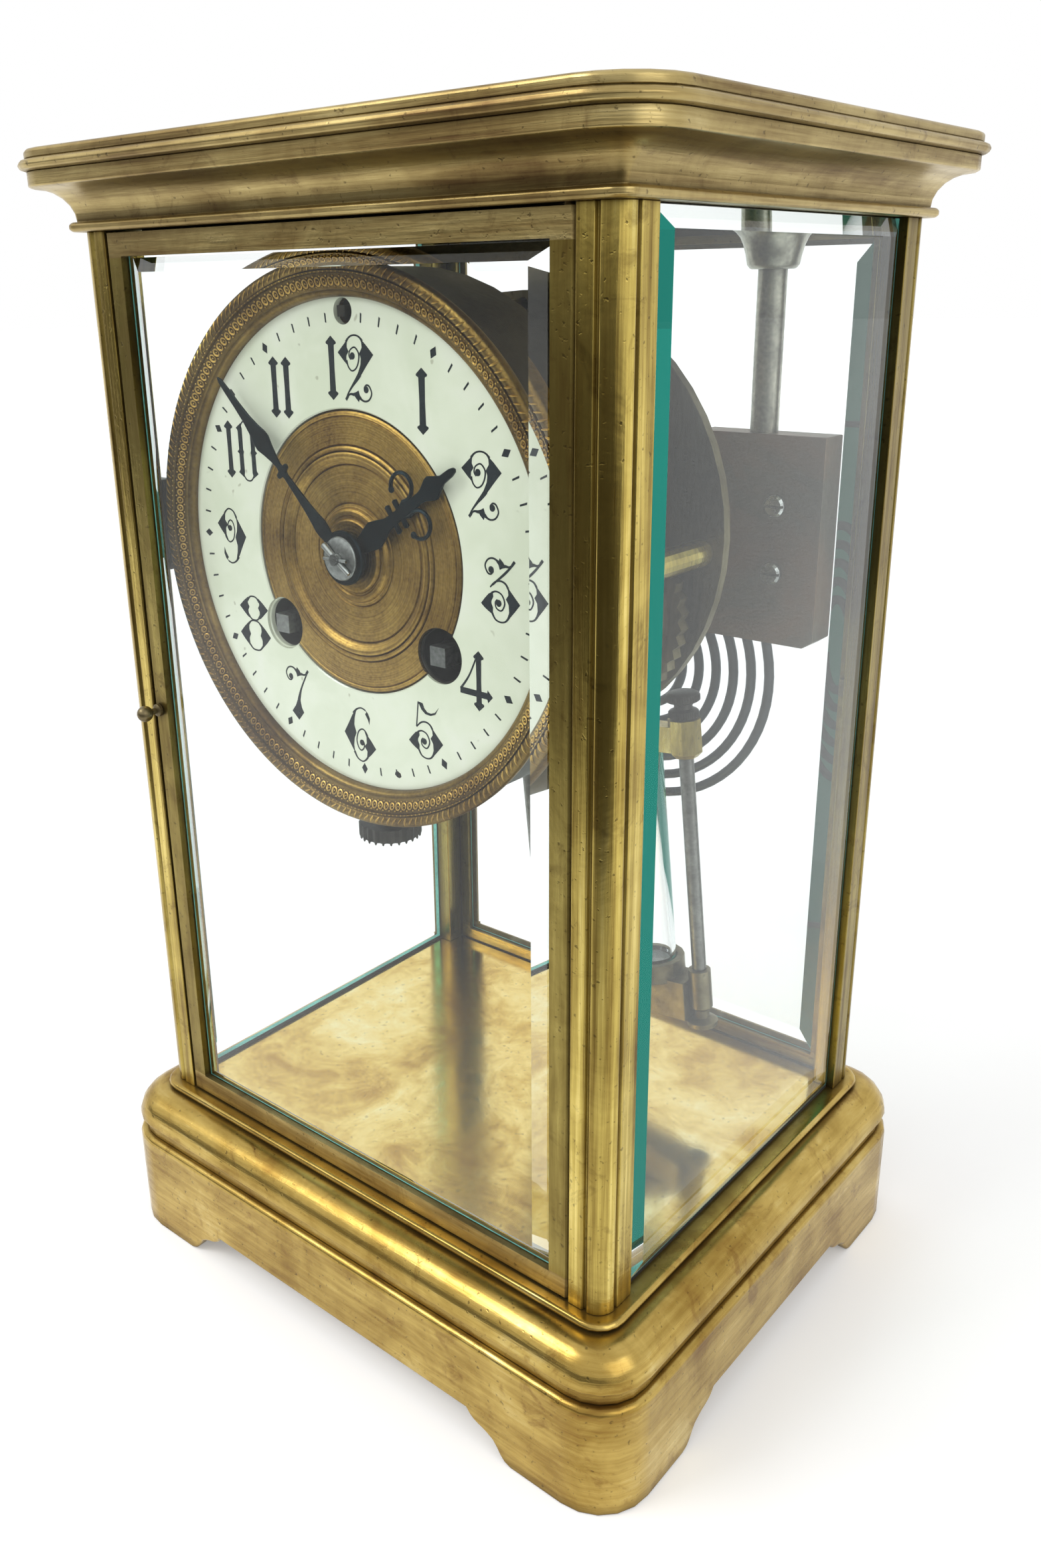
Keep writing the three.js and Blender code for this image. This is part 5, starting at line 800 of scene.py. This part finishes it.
def flourish():
    """The foot of the 2, and the top of the 3 and the 7: a blade between a thin line and a curl."""
    return [
        [[(-3.5, -5.7), (-3.05, -6.1), (-2.4, -5.3), (-2.8, -4.9)]],
        stroke([[-2.6, -5.1, 0.34], [-1.9, -4.75, 0.4], [-0.9, -4.85, 0.6]]),
        [[(-1.2, -4.55), (-0.4, -4.35), (0.3, -4.0), (0.6, -4.9), (1.1, -5.4), (0.5, -5.7), (0.3, -6.2),
          (-0.5, -5.5)]],
        stroke([[0.5, -5.4, 0.5], [1.8, -6.0, 0.36], [3.1, -5.7, 0.34], [3.85, -4.5, 0.34],
                [3.3, -3.2, 0.34], [2.5, -2.95, 0.34], [1.85, -3.6, 0.4]]),
        disc(2.4, -3.8, 0.66),
    ]


def two(x):
    left = [(-4.95, 3.0), (-3.7, 4.1), (-2.5, 5.15), (-1.5, 5.95), (-2.3, 4.9), (-2.4, 4.0), (-1.95, 3.2),
            (-2.6, 2.4), (-2.65, 1.4), (-2.2, 0.5), (-3.4, 1.5)]
    right = [(4.7, 2.7), (2.9, 4.4), (1.8, 5.3), (0.9, 6.05), (1.6, 5.0), (1.7, 4.0), (0.95, 2.9),
             (1.3, 2.0), (1.15, 0.8), (0.3, -0.9), (-0.6, -2.1), (0.4, -1.9), (1.5, -0.8), (3.0, 0.9)]
    shapes = [
        [left], [right],
        stroke([[-2.6, 5.0, 0.5], [-1.6, 5.9, 0.36], [-0.35, 6.25, 0.32], [0.9, 6.0, 0.36],
                [1.9, 5.2, 0.5]]),
        stroke([[-2.55, 1.6, 0.4], [-2.2, 0.4, 0.34], [-1.26, -0.37, 0.3], [-0.1, 0.1, 0.32],
                [0.65, 1.4, 0.36], [0.8, 2.8, 0.36], [0.1, 3.8, 0.32], [-0.6, 4.0, 0.3], [-1.6, 3.4, 0.3],
                [-1.85, 2.4, 0.34], [-1.3, 1.8, 0.5]]),
        disc(-0.97, 2.4, 0.68),
        stroke([[0.9, -0.9, 1.0], [-0.1, -2.0, 0.8], [-1.3, -3.2, 0.5], [-2.6, -4.7, 0.34],
                [-3.1, -5.6, 0.34]]),
    ]
    return placed(shapes + flourish(), x)


def six():
    left = [(-4.6, -0.3), (-3.2, 1.9), (-1.9, 4.1), (-0.7, 5.3), (-1.3, 3.4), (-1.5, 1.9), (-0.95, 0.1),
            (-1.6, -1.2), (-1.85, -2.8), (-1.6, -4.6), (-3.2, -2.3)]
    right = [(4.8, -2.5), (3.5, -1.0), (2.4, 0.1), (1.5, 1.0), (2.05, -0.3), (2.05, -1.7), (1.35, -2.5),
             (2.15, -3.5), (1.9, -5.3), (3.3, -4.1)]
    return [
        [left], [right],
        stroke([[-1.6, 4.4, 0.7], [-0.6, 5.5, 0.4], [0.8, 6.05, 0.32], [2.1, 5.7, 0.34]]),
        [[(1.9, 5.9), (2.8, 5.2), (3.35, 4.1), (3.1, 2.7), (2.75, 3.7), (1.95, 4.9), (2.35, 5.3)]],
        stroke([[-1.8, -4.2, 0.6], [-0.9, -5.6, 0.36], [0.45, -6.1, 0.32], [1.4, -5.7, 0.36],
                [2.2, -4.9, 0.5]]),
        stroke([[2.4, 0.0, 0.5], [1.7, 1.0, 0.34], [0.8, 1.3, 0.32], [-0.3, 0.5, 0.32], [-0.9, -1.4, 0.32],
                [-0.5, -3.0, 0.32], [0.27, -3.6, 0.32], [1.1, -3.0, 0.32], [1.3, -2.0, 0.34],
                [0.8, -1.3, 0.5]]),
        disc(0.63, -1.8, 0.66),
    ]


def eight():
    upper = [(-4.75, 3.6), (-3.1, 5.0), (-1.6, 6.0), (-1.8, 5.3), (-1.95, 4.5), (-1.45, 3.7), (-1.95, 2.9),
             (-1.8, 1.9), (-1.1, 1.0), (-2.2, 1.4), (-3.4, 2.4)]
    lower = [(-5.1, -2.6), (-3.6, -1.1), (-2.1, 0.1), (-1.2, 0.5), (-2.0, -0.6), (-2.1, -1.6), (-1.65, -2.6),
             (-2.2, -3.6), (-2.1, -4.9), (-1.2, -5.9), (-2.4, -5.2), (-3.8, -4.0)]
    shapes = [[[(sign * a, b) for a, b in wing]] for wing in (upper, lower) for sign in (-1, 1)]
    for high, low, half in ((6.2, 0.8, 1.9), (0.65, -6.15, 2.2)):
        for end, way in ((high, -1), (low, 1)):
            shapes.append(stroke([[-half, end + way * 1.1, 0.5], [-half * 0.55, end + way * 0.2, 0.36],
                                  [0, end, 0.34], [half * 0.55, end + way * 0.2, 0.36],
                                  [half, end + way * 1.1, 0.5]]))
    return shapes


def nought(x):
    side = [(-1.25, -4.7), (-0.75, -4.1), (-0.7, -0.75), (-1.3, -0.3), (-0.7, 0.15), (-0.75, 4.1),
            (-1.25, 4.7), (0.3, 5.7), (0.65, 4.6), (0.6, 0.2), (0.85, -0.3), (0.6, -0.8), (0.65, -4.6),
            (0.3, -5.7)]
    return [
        [[(x - 1.9 + a, b) for a, b in side]], [[(x + 1.9 - a, b) for a, b in side]],
        stroke([[x - 1.6, 5.3, 0.36], [x - 0.9, 6.0, 0.32], [x, 6.25, 0.32], [x + 0.9, 6.0, 0.32],
                [x + 1.6, 5.3, 0.36]]),
        stroke([[x - 1.6, -5.3, 0.36], [x - 0.9, -6.1, 0.32], [x, -6.35, 0.32], [x + 0.9, -6.1, 0.32],
                [x + 1.6, -5.3, 0.36]]),
    ]


def figure(number):
    """The filled outlines of one number, from its own middle."""
    if number == 9:
        return placed(six(), turned=True)
    if number in (6, 8, 2):
        return {6: six, 8: eight, 2: lambda: two(0)}[number]()
    if number == 3:
        swash = stroke([[3.0, 5.4, 0.34], [0.9, 3.4, 0.5], [-2.1, 1.0, 0.32]])
        return placed(low_bowl(), -0.2, 0.1) + placed(flourish(), turned=True) + [
            swash, stroke([[-2.4, 0.9, 0.3], [-2.0, 1.0, 0.3], [-1.4, 1.5, 0.34]])]
    if number == 5:
        flag = [(-1.95, 5.9), (-0.6, 5.7), (-0.2, 4.7), (0.6, 4.0), (1.6, 3.9), (2.7, 4.3), (3.75, 5.5),
                (2.8, 3.9), (1.5, 3.4), (0.1, 3.5), (-1.0, 4.3)]
        return low_bowl() + [[flag], stroke([[-1.85, 5.8, 0.34], [-2.2, 3.0, 0.3], [-2.5, 0.35, 0.36]])]
    if number == 7:
        kite = [(0.25, -0.6), (0.5, -2.2), (0.75, -3.3), (1.35, -4.3), (-0.4, -6.3), (-2.45, -4.5),
                (-1.2, -3.0), (-0.4, -1.4)]
        swash = stroke([[3.2, 5.2, 0.34], [1.9, 3.0, 0.4], [0.8, 0.9, 0.5], [0.0, -1.4, 0.9]])
        return placed(flourish(), 0.2, -0.2, True) + [swash, [kite]]
    if number == 4:
        arrow = [(-4.0, -1.8), (2.9, -2.0), (3.0, -1.4), (4.3, -2.7), (3.1, -4.0), (2.9, -3.3), (-4.0, -3.1)]
        slope = stroke([[0.5, 5.3, 0.34], [-1.6, 0.9, 0.4], [-3.9, -2.2, 0.5]])
        return [bar(0.8, 0.68), [arrow], slope]
    if number == 1:
        return [bar(0)]
    if number == 11:
        return [bar(-1.9), bar(1.9)]
    if number == 10:
        return [bar(-3.9, 0.74)] + nought(1.8)
    return [bar(-4.9)] + two(1.9)


FIGURE_PLACES = {
    12: (1.2, 36.75), 1: (20.1, 31.35), 2: (34.4, 16.85), 3: (38.7, -2.25), 4: (32.0, -20.9),
    5: (18.3, -33.95), 6: (-1.1, -38.8), 7: (-19.8, -33.1), 8: (-33.0, -19.2), 9: (-38.35, -0.1),
    10: (-33.0, 19.0), 11: (-19.1, 32.5),
}


PAINT = 0.024


def flat_piece(groups, y, name):
    """Fills outlines at a place on the dial, a hair proud of the enamel, and returns the mesh."""
    curve = bpy.data.curves.new(name, "CURVE")
    curve.dimensions = "2D"
    curve.fill_mode = "BOTH"
    curve.extrude = PAINT / 2 * MM
    for group in groups:
        for loop in group:
            spline = curve.splines.new("POLY")
            spline.points.add(len(loop) - 1)
            for point, (x, z) in zip(spline.points, loop):
                point.co = (x * MM, z * MM, 0, 1)
            spline.use_cyclic_u = True
    holder = added(name, curve)
    bpy.context.view_layer.update()
    mesh = bpy.data.meshes.new_from_object(holder.evaluated_get(bpy.context.evaluated_depsgraph_get()))
    bpy.data.objects.remove(holder)
    mesh.transform(Matrix.Translation((0, y * MM, 0)) @ Matrix.Rotation(math.pi / 2, 4, "X"))
    return mesh


def dial_figures():
    """The twelve figures and the minute track, painted on the enamel."""
    work = bmesh.new()
    face = ENAMEL_Y - 0.014
    for hour, (x, z) in FIGURE_PLACES.items():
        for layer, group in enumerate(placed(figure(hour), x, DIAL_Z + z)):
            take_in(work, flat_piece([group], face - 0.0012 * layer, "figure"))
    track = 46.4
    marks = []
    for minute in range(1, 60):
        s, c = math.sin(minute * math.pi / 30), math.cos(minute * math.pi / 30)
        if minute % 5:
            outline = [(-0.2, 0.95), (0.2, 0.95 * 0.8), (0.2 * 0.8, -0.95), (-0.2, -0.95 * 0.9)]
        else:
            outline = [(0, 1.25), (0.85, 0), (0, -1.25), (-0.85, 0)]
        marks.append([[(track * s + a * c + b * s, DIAL_Z + track * c - a * s + b * c) for a, b in outline]])
    take_in(work, flat_piece(marks, face, "marks"))
    finished("dial_figures", work, figure_black, "case", "blued_steel")


dial_figures()


def enamel_chip():
    """A small chip at the enamel's rim, near half past five."""
    outline = [(9.2, -45.1), (9.9, -44.8), (10.7, -45.2), (10.9, -45.9), (10.3, -46.3), (9.5, -46.1),
               (9.0, -45.7)]
    mesh = flat_piece([[[(x, DIAL_Z + z) for x, z in outline]]], ENAMEL_Y - 0.012, "enamel_chip")
    finished("enamel_chip", mesh, nut_steel, "case", "dark_drum")


enamel_chip()

# Winding holes: a lining in each, white enamel in the left as a painted highlight and dark steel in the
# right, and a near-black well round the square behind it as painted shade
for side, label, highlight_or_steel_lining, depth in (
        (-1, "left", dial_enamel, -45.2), (1, "right", nut_steel, -45.9)):
    at = (side * WINDING[0], 0, DIAL_Z + WINDING[1])
    lathe(f"winding_lip_{label}", [
        (5.35, -46.2), (5.5, -46.45), (5.72, -46.45), (5.72, depth), (5.35, depth),
    ], highlight_or_steel_lining, "case", 64, at=at, slot="steel")
    lathe(f"winding_hole_shade_{label}", [
        (5.35, depth), (5.72, depth), (5.72, -39.5), (3.45, -39.5), (3.45, -40.0), (5.35, -40.0),
    ], painted_shade_black, "case", 64, at=at, slot="dark_drum")


# Back plate: slotted screws over the pillars, and turned bushes with their pivots

PLATE_REAR = 11.0


def back_plate_screws():
    work = bmesh.new()
    slots = bmesh.new()
    rear = PLATE_REAR
    for k in range(1, 5):
        low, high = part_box(f"movement_pillar_{k}")
        x, z = (low[0] + high[0]) / 2 / MM, (low[2] + high[2]) / 2 / MM
        spin(work, [(0, rear), (2.7, rear), (2.7, rear + 0.9), (2.5, rear + 1.15), (1.4, rear + 1.35),
                    (0, rear + 1.4)], "y", (x, 0, z), 40)
        block(slots, moved(x, rear + 1.1, z) @ Matrix.Rotation(0.5 + k, 4, "Y"), 5.0, 0.7, 0.6)
    finished("back_plate_screws", work, bright_steel, "case", "steel")
    # The slots are near-black: painted shade in the recesses.
    finished("back_plate_screw_slots", slots, painted_shade_black, "case", "steel")


def back_plate_bushes():
    work = bmesh.new()
    pivots = bmesh.new()
    rear = PLATE_REAR
    barrel_z = DIAL_Z + WINDING[1]
    for x, z, inner, outer in (
            (WINDING[0], barrel_z, 2.5, 4.3), (-WINDING[0], barrel_z, 2.5, 4.3), (0, DIAL_Z, 0.9, 2.9),
            (13.4, 200.6, 0.6, 2.1), (14.6, 212.4, 0.6, 1.8), (-13.8, 199.4, 0.6, 2.1),
            (-20.2, 208.6, 0.6, 1.9), (-10.6, 213.8, 0.6, 1.8)):
        spin(work, [(inner, rear - 0.2), (outer, rear - 0.2), (outer, rear + 0.1),
                    (outer - 0.2, rear + 0.22), (outer - 0.45, rear + 0.08), (inner + 0.35, rear + 0.05),
                    (inner, rear + 0.16)],
             "y", (x, 0, z), 40)
        if inner < 2:
            spin(pivots, [(0, rear - 0.2), (inner - 0.15, rear - 0.2), (inner - 0.15, rear + 0.3),
                          (0, rear + 0.42)], "y", (x, 0, z), 20)
    finished("back_plate_bushes", work, aged_brass, "case", "plate_brass")
    finished("back_plate_pivots", pivots, bright_steel, "case", "steel")


back_plate_screws()
back_plate_bushes()


# Hands

HAND_THICKNESS = 0.6


def hand(name, side, y, degrees, body, node):
    """A flat steel hand cut from its right half's outline and softly rounded at its edges."""
    work = bmesh.new()
    take_in(work, flat_piece([[mirrored(side)]], 0, name))
    bmesh.ops.remove_doubles(work, verts=work.verts, dist=SAME_PLACE)
    scale = Matrix.Diagonal((1, HAND_THICKNESS / PAINT, 1, 1))
    place = Matrix.Translation((0, y * MM, DIAL_Z * MM)) @ Matrix.Rotation(math.radians(degrees), 4, "Y")
    bmesh.ops.transform(work, matrix=place @ scale, verts=work.verts)
    piece = finished(name, work, hand_blue, body, "blued_steel", (node,))
    soften(piece, 0.13, 40, False)
    applied(piece)


def mirrored(side):
    """A closed outline from its right half, given as [x, z] from root to tip."""
    return side + [(-x, z) for x, z in reversed(side) if x > ON_AXIS]


minute_side = [
    (1.2, 4.2), (1.35, 5.2), (1.7, 7.2), (1.8, 8.4), (1.45, 10.4), (1.1, 13.2), (0.85, 17), (0.62, 21.6),
    (0.8, 22.4), (1.8, 22.6), (2.0, 23.1), (1.8, 23.6), (0.8, 23.8), (0.62, 24.6), (0.9, 26.2), (1.6, 28.8),
    (2.3, 30.8), (2.2, 32.2), (1.6, 34.5), (1.1, 37.5), (0.85, 41), (0.7, 45), (0.5, 48), (0, 49.1),
]
hour_side = [
    (1.4, 4.0), (1.7, 5.2), (2.6, 8.2), (2.85, 9.6), (2.3, 11.4), (1.35, 14.0), (1.2, 15.5), (2.9, 15.4),
    (3.1, 16.0), (2.9, 16.6), (1.2, 16.5), (1.15, 17.9), (2.9, 17.8), (3.1, 18.4), (2.9, 19.0), (1.15, 18.9),
    (1.1, 24.8), (1.3, 25.8), (2.3, 27.8), (2.45, 28.7), (1.6, 30.2), (0.9, 31.6), (0.8, 34.2), (0.5, 35.3),
    (0, 35.6),
]
MINUTES = 52.4
MINUTE_TURN = MINUTES * 6
HOUR_TURN = (1 + MINUTES / 60) * 30
HOUR_HAND_Y = -48.9
hand("minute_hand_blade", minute_side, -50.3, MINUTE_TURN, "minute_body", "minute_hand")
hand("hour_hand_blade", hour_side, HOUR_HAND_Y, HOUR_TURN, "hour_body", "hour_hand")


def hour_scrolls():
    """Two open scrolls beside the hour hand's stem, each ending in a bead."""
    work = bmesh.new()
    place = Matrix.Translation((0, 0, DIAL_Z * MM)) @ Matrix.Rotation(math.radians(HOUR_TURN), 4, "Y")
    middle, height, radius = 4.1, 21.6, 2.75
    for side in (-1, 1):
        path = [(side * 1.0, HOUR_HAND_Y, 18.6)]
        for degrees in range(205, -82, -12):
            a = math.radians(degrees)
            path.append((side * (middle + radius * math.cos(a)), HOUR_HAND_Y, height + radius * math.sin(a)))
        tube(work, path, [0.32] + [0.42] * (len(path) - 1), 8, place)
        bead = moved(*path[-1]) @ Matrix.Diagonal((0.75 * MM, 0.42 * MM, 0.75 * MM, 1))
        ball(work, place @ bead, fineness=2)
    finished("hour_hand_scrolls", work, hand_blue, "hour_body", "blued_steel")


hour_scrolls()
lathe("hour_hand_boss", [
    (1.5, -48.6), (5.0, -48.6), (5.15, -48.75), (5.15, -49.1), (4.9, -49.3), (1.5, -49.3),
], hand_blue, "hour_body", 64, slot="blued_steel")
lathe("minute_hand_boss", [
    (1.3, -49.65), (5.45, -49.65), (5.6, -49.8), (5.6, -50.3), (5.35, -50.6), (1.3, -50.6),
], hand_blue, "minute_body", 64, slot="blued_steel")
lathe("hand_collet_domed", [
    (1.3, -50.62), (4.4, -50.62), (4.5, -50.75), (4.5, -51.1), (4.3, -51.35), (3.6, -51.6), (2.6, -51.75),
    (1.3, -51.8),
], collet_steel, "minute_body", 64, slot="steel", stands_for=("hand_collet",))


def collet_pin():
    """The arbor's rounded tip, and the taper pin through it that holds the hands."""
    work = bmesh.new()
    tip = [(0, -53.0), (0.6, -52.95), (1.05, -52.7), (1.2, -52.3), (1.2, -51.5), (0, -51.5)]
    spin(work, tip, "y", (0, 0, DIAL_Z), 32)
    lean = math.radians(38)
    reach = [(-4.4, 0.62), (-4.2, 0.74), (0, 0.62), (4.1, 0.48), (4.3, 0.36)]
    tube(work, [(r * math.cos(lean), -52.15, DIAL_Z - r * math.sin(lean)) for r, _ in reach],
         [size for _, size in reach], 12)
    finished("hand_pin", work, pin_steel, "minute_body", "steel")


collet_pin()


def thumbscrew_knurl():
    """Rounded ridges on the thumbscrew's rim."""
    work = bmesh.new()
    knurl(work, 24, (0, -40), 6.7, (125.9, 126.2, 128.6, 128.9), (0.1, 0.28, 0.28, 0.1), 6)
    finished("thumbscrew_knurl", work, nut_steel, body_of["thumbscrew"], slot_of["thumbscrew"])


thumbscrew_knurl()


# Pendulum: drawn hanging straight, then swung with the CAD's own angle

SWUNG = Matrix.Translation(Vector(PIVOT) * MM) @ Matrix.Rotation(math.radians(-SWING), 4, "Y")


def swung(name, profile, x, material, segments, slot, stands_for):
    """A turned piece of the pendulum, in millimetres from the pivot."""
    work = bmesh.new()
    spin(work, profile, "z", (x, 0, 0), segments)
    bmesh.ops.transform(work, matrix=SWUNG, verts=work.verts)
    finished(name, work, material, "pendulum_body", slot, (stands_for,))


ROD_X = 23.2
JAR_X = 9.2
TOP_BAR = -90.0
BOTTOM_BAR = -157.0
for side, label in ((-1, "left"), (1, "right")):
    rod_foot, rod_top = BOTTOM_BAR + 3.3, TOP_BAR - 8.0
    swung(f"pendulum_rod_{label}_round", [(0, rod_foot), (1.8, rod_foot), (1.8, rod_top), (0, rod_top)],
          side * ROD_X, dull_steel, 32, "steel", f"pendulum_rod_{label}")
    swung(f"pendulum_jar_{label}_blown", [
        (0, BOTTOM_BAR + 1.3), (5.6, BOTTOM_BAR + 1.3), (6.1, BOTTOM_BAR + 1.6), (6.2, BOTTOM_BAR + 2.2),
        (6.2, TOP_BAR - 7.3), (6.0, TOP_BAR - 6.9), (5.2, TOP_BAR - 6.85), (5.0, TOP_BAR - 7.2),
        (5.0, BOTTOM_BAR + 4.4), (4.4, BOTTOM_BAR + 3.5), (0, BOTTOM_BAR + 3.3),
    ], side * JAR_X, jar_glass, 72, "clear_glass", f"pendulum_jar_{label}")
    seat = TOP_BAR + 2.2
    nut = [
        (0, seat), (3.3, seat), (3.5, seat + 0.2), (3.5, seat + 1.8), (3.3, seat + 2.0), (2.4, seat + 2.3),
        (2.2, seat + 2.8), (2.2, seat + 3.5), (3.5, seat + 3.9), (4.0, seat + 4.2), (4.0, seat + 5.8),
        (3.8, seat + 6.1), (3.0, seat + 6.5), (0, seat + 6.6),
    ]
    swung(f"pendulum_nut_{label}_turned", nut, side * ROD_X, nut_steel, 48, "plate_brass",
          f"pendulum_nut_{label}")
    work = bmesh.new()
    for low, high, radius in ((seat + 0.3, seat + 1.7, 3.5), (seat + 4.3, seat + 5.7, 4.0)):
        knurl(work, 36, (side * ROD_X, 0), radius, (low, (low + high) / 2, high), (0.16, 0.2, 0.16), 5)
    bmesh.ops.transform(work, matrix=SWUNG, verts=work.verts)
    finished(f"pendulum_nut_{label}_knurl", work, nut_steel, "pendulum_body", "plate_brass")


# Gong: the same spiral as the CAD's, as a smooth round wire

def gong_path():
    """The spiral's middle line from its inner end, and the bend up into the block."""
    points = []
    steps = 64
    total = round(5.5 * steps)
    lean = math.radians(15)
    for step in range(total + 1):
        back = (total - step) / steps
        radius = 36.8 - 4.9 * back
        angle = lean - back * 2 * math.pi
        points.append((7.5 + radius * math.cos(angle), GONG_Y, GONG_Z + radius * math.sin(angle)))
    x, _, z = points[-1]
    bend = 25
    centre_x, centre_z = x + bend * math.cos(lean), z + bend * math.sin(lean)
    for degrees in (12, 9, 6, 3, 0):
        a = math.radians(degrees)
        points.append((centre_x - bend * math.cos(a), GONG_Y, centre_z - bend * math.sin(a)))
    last = points[-1][0]
    return points + [(last, GONG_Y, 165.0), (last, GONG_Y, 170.2)]


coil = bmesh.new()
coil_points = gong_path()
tube(coil, coil_points, [1.2] * len(coil_points), 14)
finished("gong_wire", coil, gong_blue, "case", "blued_steel", ("gong_coil",), 50)

lathe("gong_stand_turned", [
    (0, 209.6), (3.15, 209.6), (3.15, 244.2), (4.6, 244.2), (5.0, 244.4), (5.6, 245.1), (6.0, 247.2),
    (6.6, 249.2), (7.3, 250.7), (8.3, 251.8), (9.6, 252.6), (10.7, 253.1), (11.0, 253.4), (11.0, 253.7),
    (10.8, 253.9), (0, 253.9),
], stand_steel, "case", 64, "z", (42.2, 38.6, 0), slot="aged_brass", stands_for=("gong_stand",))


# Door catches: a turned ball on its collar, and the tongue inside

def catch_piece(prefix, turn):
    work = bmesh.new()
    x = -59.65
    face = -57.6
    ball_y = -61.7
    radius = 1.9
    profile = [(0, ball_y - radius)]
    for k in range(1, 10):
        profile.append((radius * math.sin(math.pi * k / 12), ball_y - radius * math.cos(math.pi * k / 12)))
    profile += [(0.75, ball_y + 1.8), (0.7, face - 1.1), (1.1, face - 0.95), (1.5, face - 0.7), (1.5, face),
                (0.7, face), (0.7, -52.2), (0, -52.2)]
    spin(work, profile, "y", (x, 0, 147.75), 32)
    block(work, moved(x, -52.05, 149.02), 1.7, 0.9, 4.2)
    bmesh.ops.transform(work, matrix=Matrix.Rotation(turn, 4, "Z"), verts=work.verts)
    finished(f"{prefix}_catch_turned", work, knob_brass, f"{prefix}_catch", "aged_brass",
             (f"{prefix}_door_catch",))


catch_piece("front", 0)
catch_piece("rear", math.pi)


# Stage: pale floor, white background and soft light

def floor_material():
    """Pale, and close to white for every ray that shows it, so that it keeps the clock's shadow."""
    g = Graph("studio_floor")
    length = g.add("VectorMath", g.place, operation="LENGTH").outputs["Value"]
    far = g.ranged(length, 0.5, 2.5, 0.22, 0.5)
    glow = g.math("MULTIPLY", g.rays("Camera", "Glossy", "Transmission"), far)
    return g.shaded(Base_Color=(0.9, 0.9, 0.9, 1), Roughness=0.8, Specular_IOR_Level=0.0,
                    Emission_Color=WHITE, Emission_Strength=glow)


def staged(name, mesh, material):
    mesh.materials.append(material)
    item = added(name, mesh)
    return item


floor_mesh = bpy.data.meshes.new("studio_floor")
floor_mesh.from_pydata([(-8, -8, 0), (8, -8, 0), (8, 8, 0), (-8, 8, 0)], [], [(0, 1, 2, 3)])
staged("studio_floor", floor_mesh, floor_material())


def dark_card():
    """A dark backdrop before the clock, lying and then low upright, which only mirrored rays see."""
    work = bmesh.new()
    lying = ((-4, -5, 0.002), (3, -5, 0.002), (3, -0.12, 0.002), (-4, -0.12, 0.002))
    work.faces.new([work.verts.new(corner) for corner in lying])
    steps, radius, height = 24, 2.6, 0.4
    wall = []
    for k in range(steps + 1):
        angle = math.radians(-100 + 150 * k / steps)
        x, y = radius * math.sin(angle), -radius * math.cos(angle)
        wall.append((work.verts.new((x, y, 0)), work.verts.new((x, y, height))))
    for near, far in zip(wall, wall[1:]):
        work.faces.new([near[0], far[0], far[1], near[1]])
    g = Graph("dark_card")
    place = g.add("SeparateXYZ", g.place).outputs
    toward = g.weighed((place["X"], 0.35), (place["Y"], -1))
    shade = g.add("Emission", (0.06, 0.055, 0.045, 1)).outputs[0]
    clear = g.add("BsdfTransparent").outputs[0]
    material = g.surface(g.either(g.ranged(toward, 0.17, 0.42), clear, shade))
    card = staged("dark_card", from_bmesh(work, "dark_card"), material)
    for kind in ("camera", "diffuse", "transmission", "shadow"):
        setattr(card, f"visible_{kind}", False)


dark_card()

LIGHT_FROM = Vector((-0.45, -0.5, 0.74)).normalized()
PANES_TAKE = 0.18


def studio_world():
    """White to every ray that shows it, a little more behind panes, and brighter from one side as light."""
    world = bpy.data.worlds.new("studio")
    bpy.context.scene.world = world
    g = Graph(world)
    toward = g.add("VectorMath", g.coordinates["Generated"], LIGHT_FROM,
                   operation="DOT_PRODUCT").outputs["Value"]
    light = g.ranged(toward, -0.5, 1.0, 0.4, 1.05)
    seen = g.rays("Camera", "Transmission", "Glossy")
    strength = g.fill(g.add("Mix"), Factor=seen, A=light, B=1.0).outputs["Result"]
    g.shaded(Color=WHITE, Strength=g.math("MULTIPLY_ADD", g.rays("Transmission"), PANES_TAKE, strength))


studio_world()


def soft_box(name, place, size, power):
    """A square lamp aimed at the clock's middle."""
    lamp = bpy.data.lights.new(name, "AREA")
    lamp.shape = "SQUARE"
    lamp.size = size
    lamp.energy = power
    holder = added(name, lamp)
    holder.location = place
    aim = Vector((0, 0, 0.13)) - Vector(place)
    holder.rotation_euler = aim.to_track_quat("-Z", "Y").to_euler()


soft_box("key", (-0.7, -1.0, 1.25), 0.7, 9)
soft_box("fill", (1.2, -0.3, 0.8), 0.9, 4)

# Camera at the photograph's place and angle, with its lens in the photograph's pixels
SHORT_SIDE, LONG_SIDE = 1568, 2361
FOCAL = 1953.373
CENTRE = (735.142, 1126.442)
SENSOR = 36
yaw, pitch, roll = math.radians(40.23), math.radians(-19.671), math.radians(-0.91)
forward = Vector((-math.sin(yaw) * math.cos(pitch), math.cos(yaw) * math.cos(pitch), math.sin(pitch)))
level = Vector((math.cos(yaw), math.sin(yaw), 0))
upward = level.cross(forward)
right = level * math.cos(roll) + upward * math.sin(roll)
up = upward * math.cos(roll) - level * math.sin(roll)
camera_data = bpy.data.cameras.new("camera")
camera_data.sensor_width = SENSOR
camera_data.lens = FOCAL * SENSOR / LONG_SIDE
camera_data.shift_x = (SHORT_SIDE / 2 - CENTRE[0]) / LONG_SIDE
camera_data.shift_y = -(LONG_SIDE / 2 - CENTRE[1]) / LONG_SIDE
camera_data.clip_start = 0.01
camera = added("camera", camera_data)
camera.matrix_world = Matrix((
    (right.x, up.x, -forward.x, 0.190247),
    (right.y, up.y, -forward.y, -0.231976),
    (right.z, up.z, -forward.z, 0.241997),
    (0, 0, 0, 1),
))
bpy.context.scene.camera = camera
bpy.context.scene.view_settings.view_transform = "Standard"
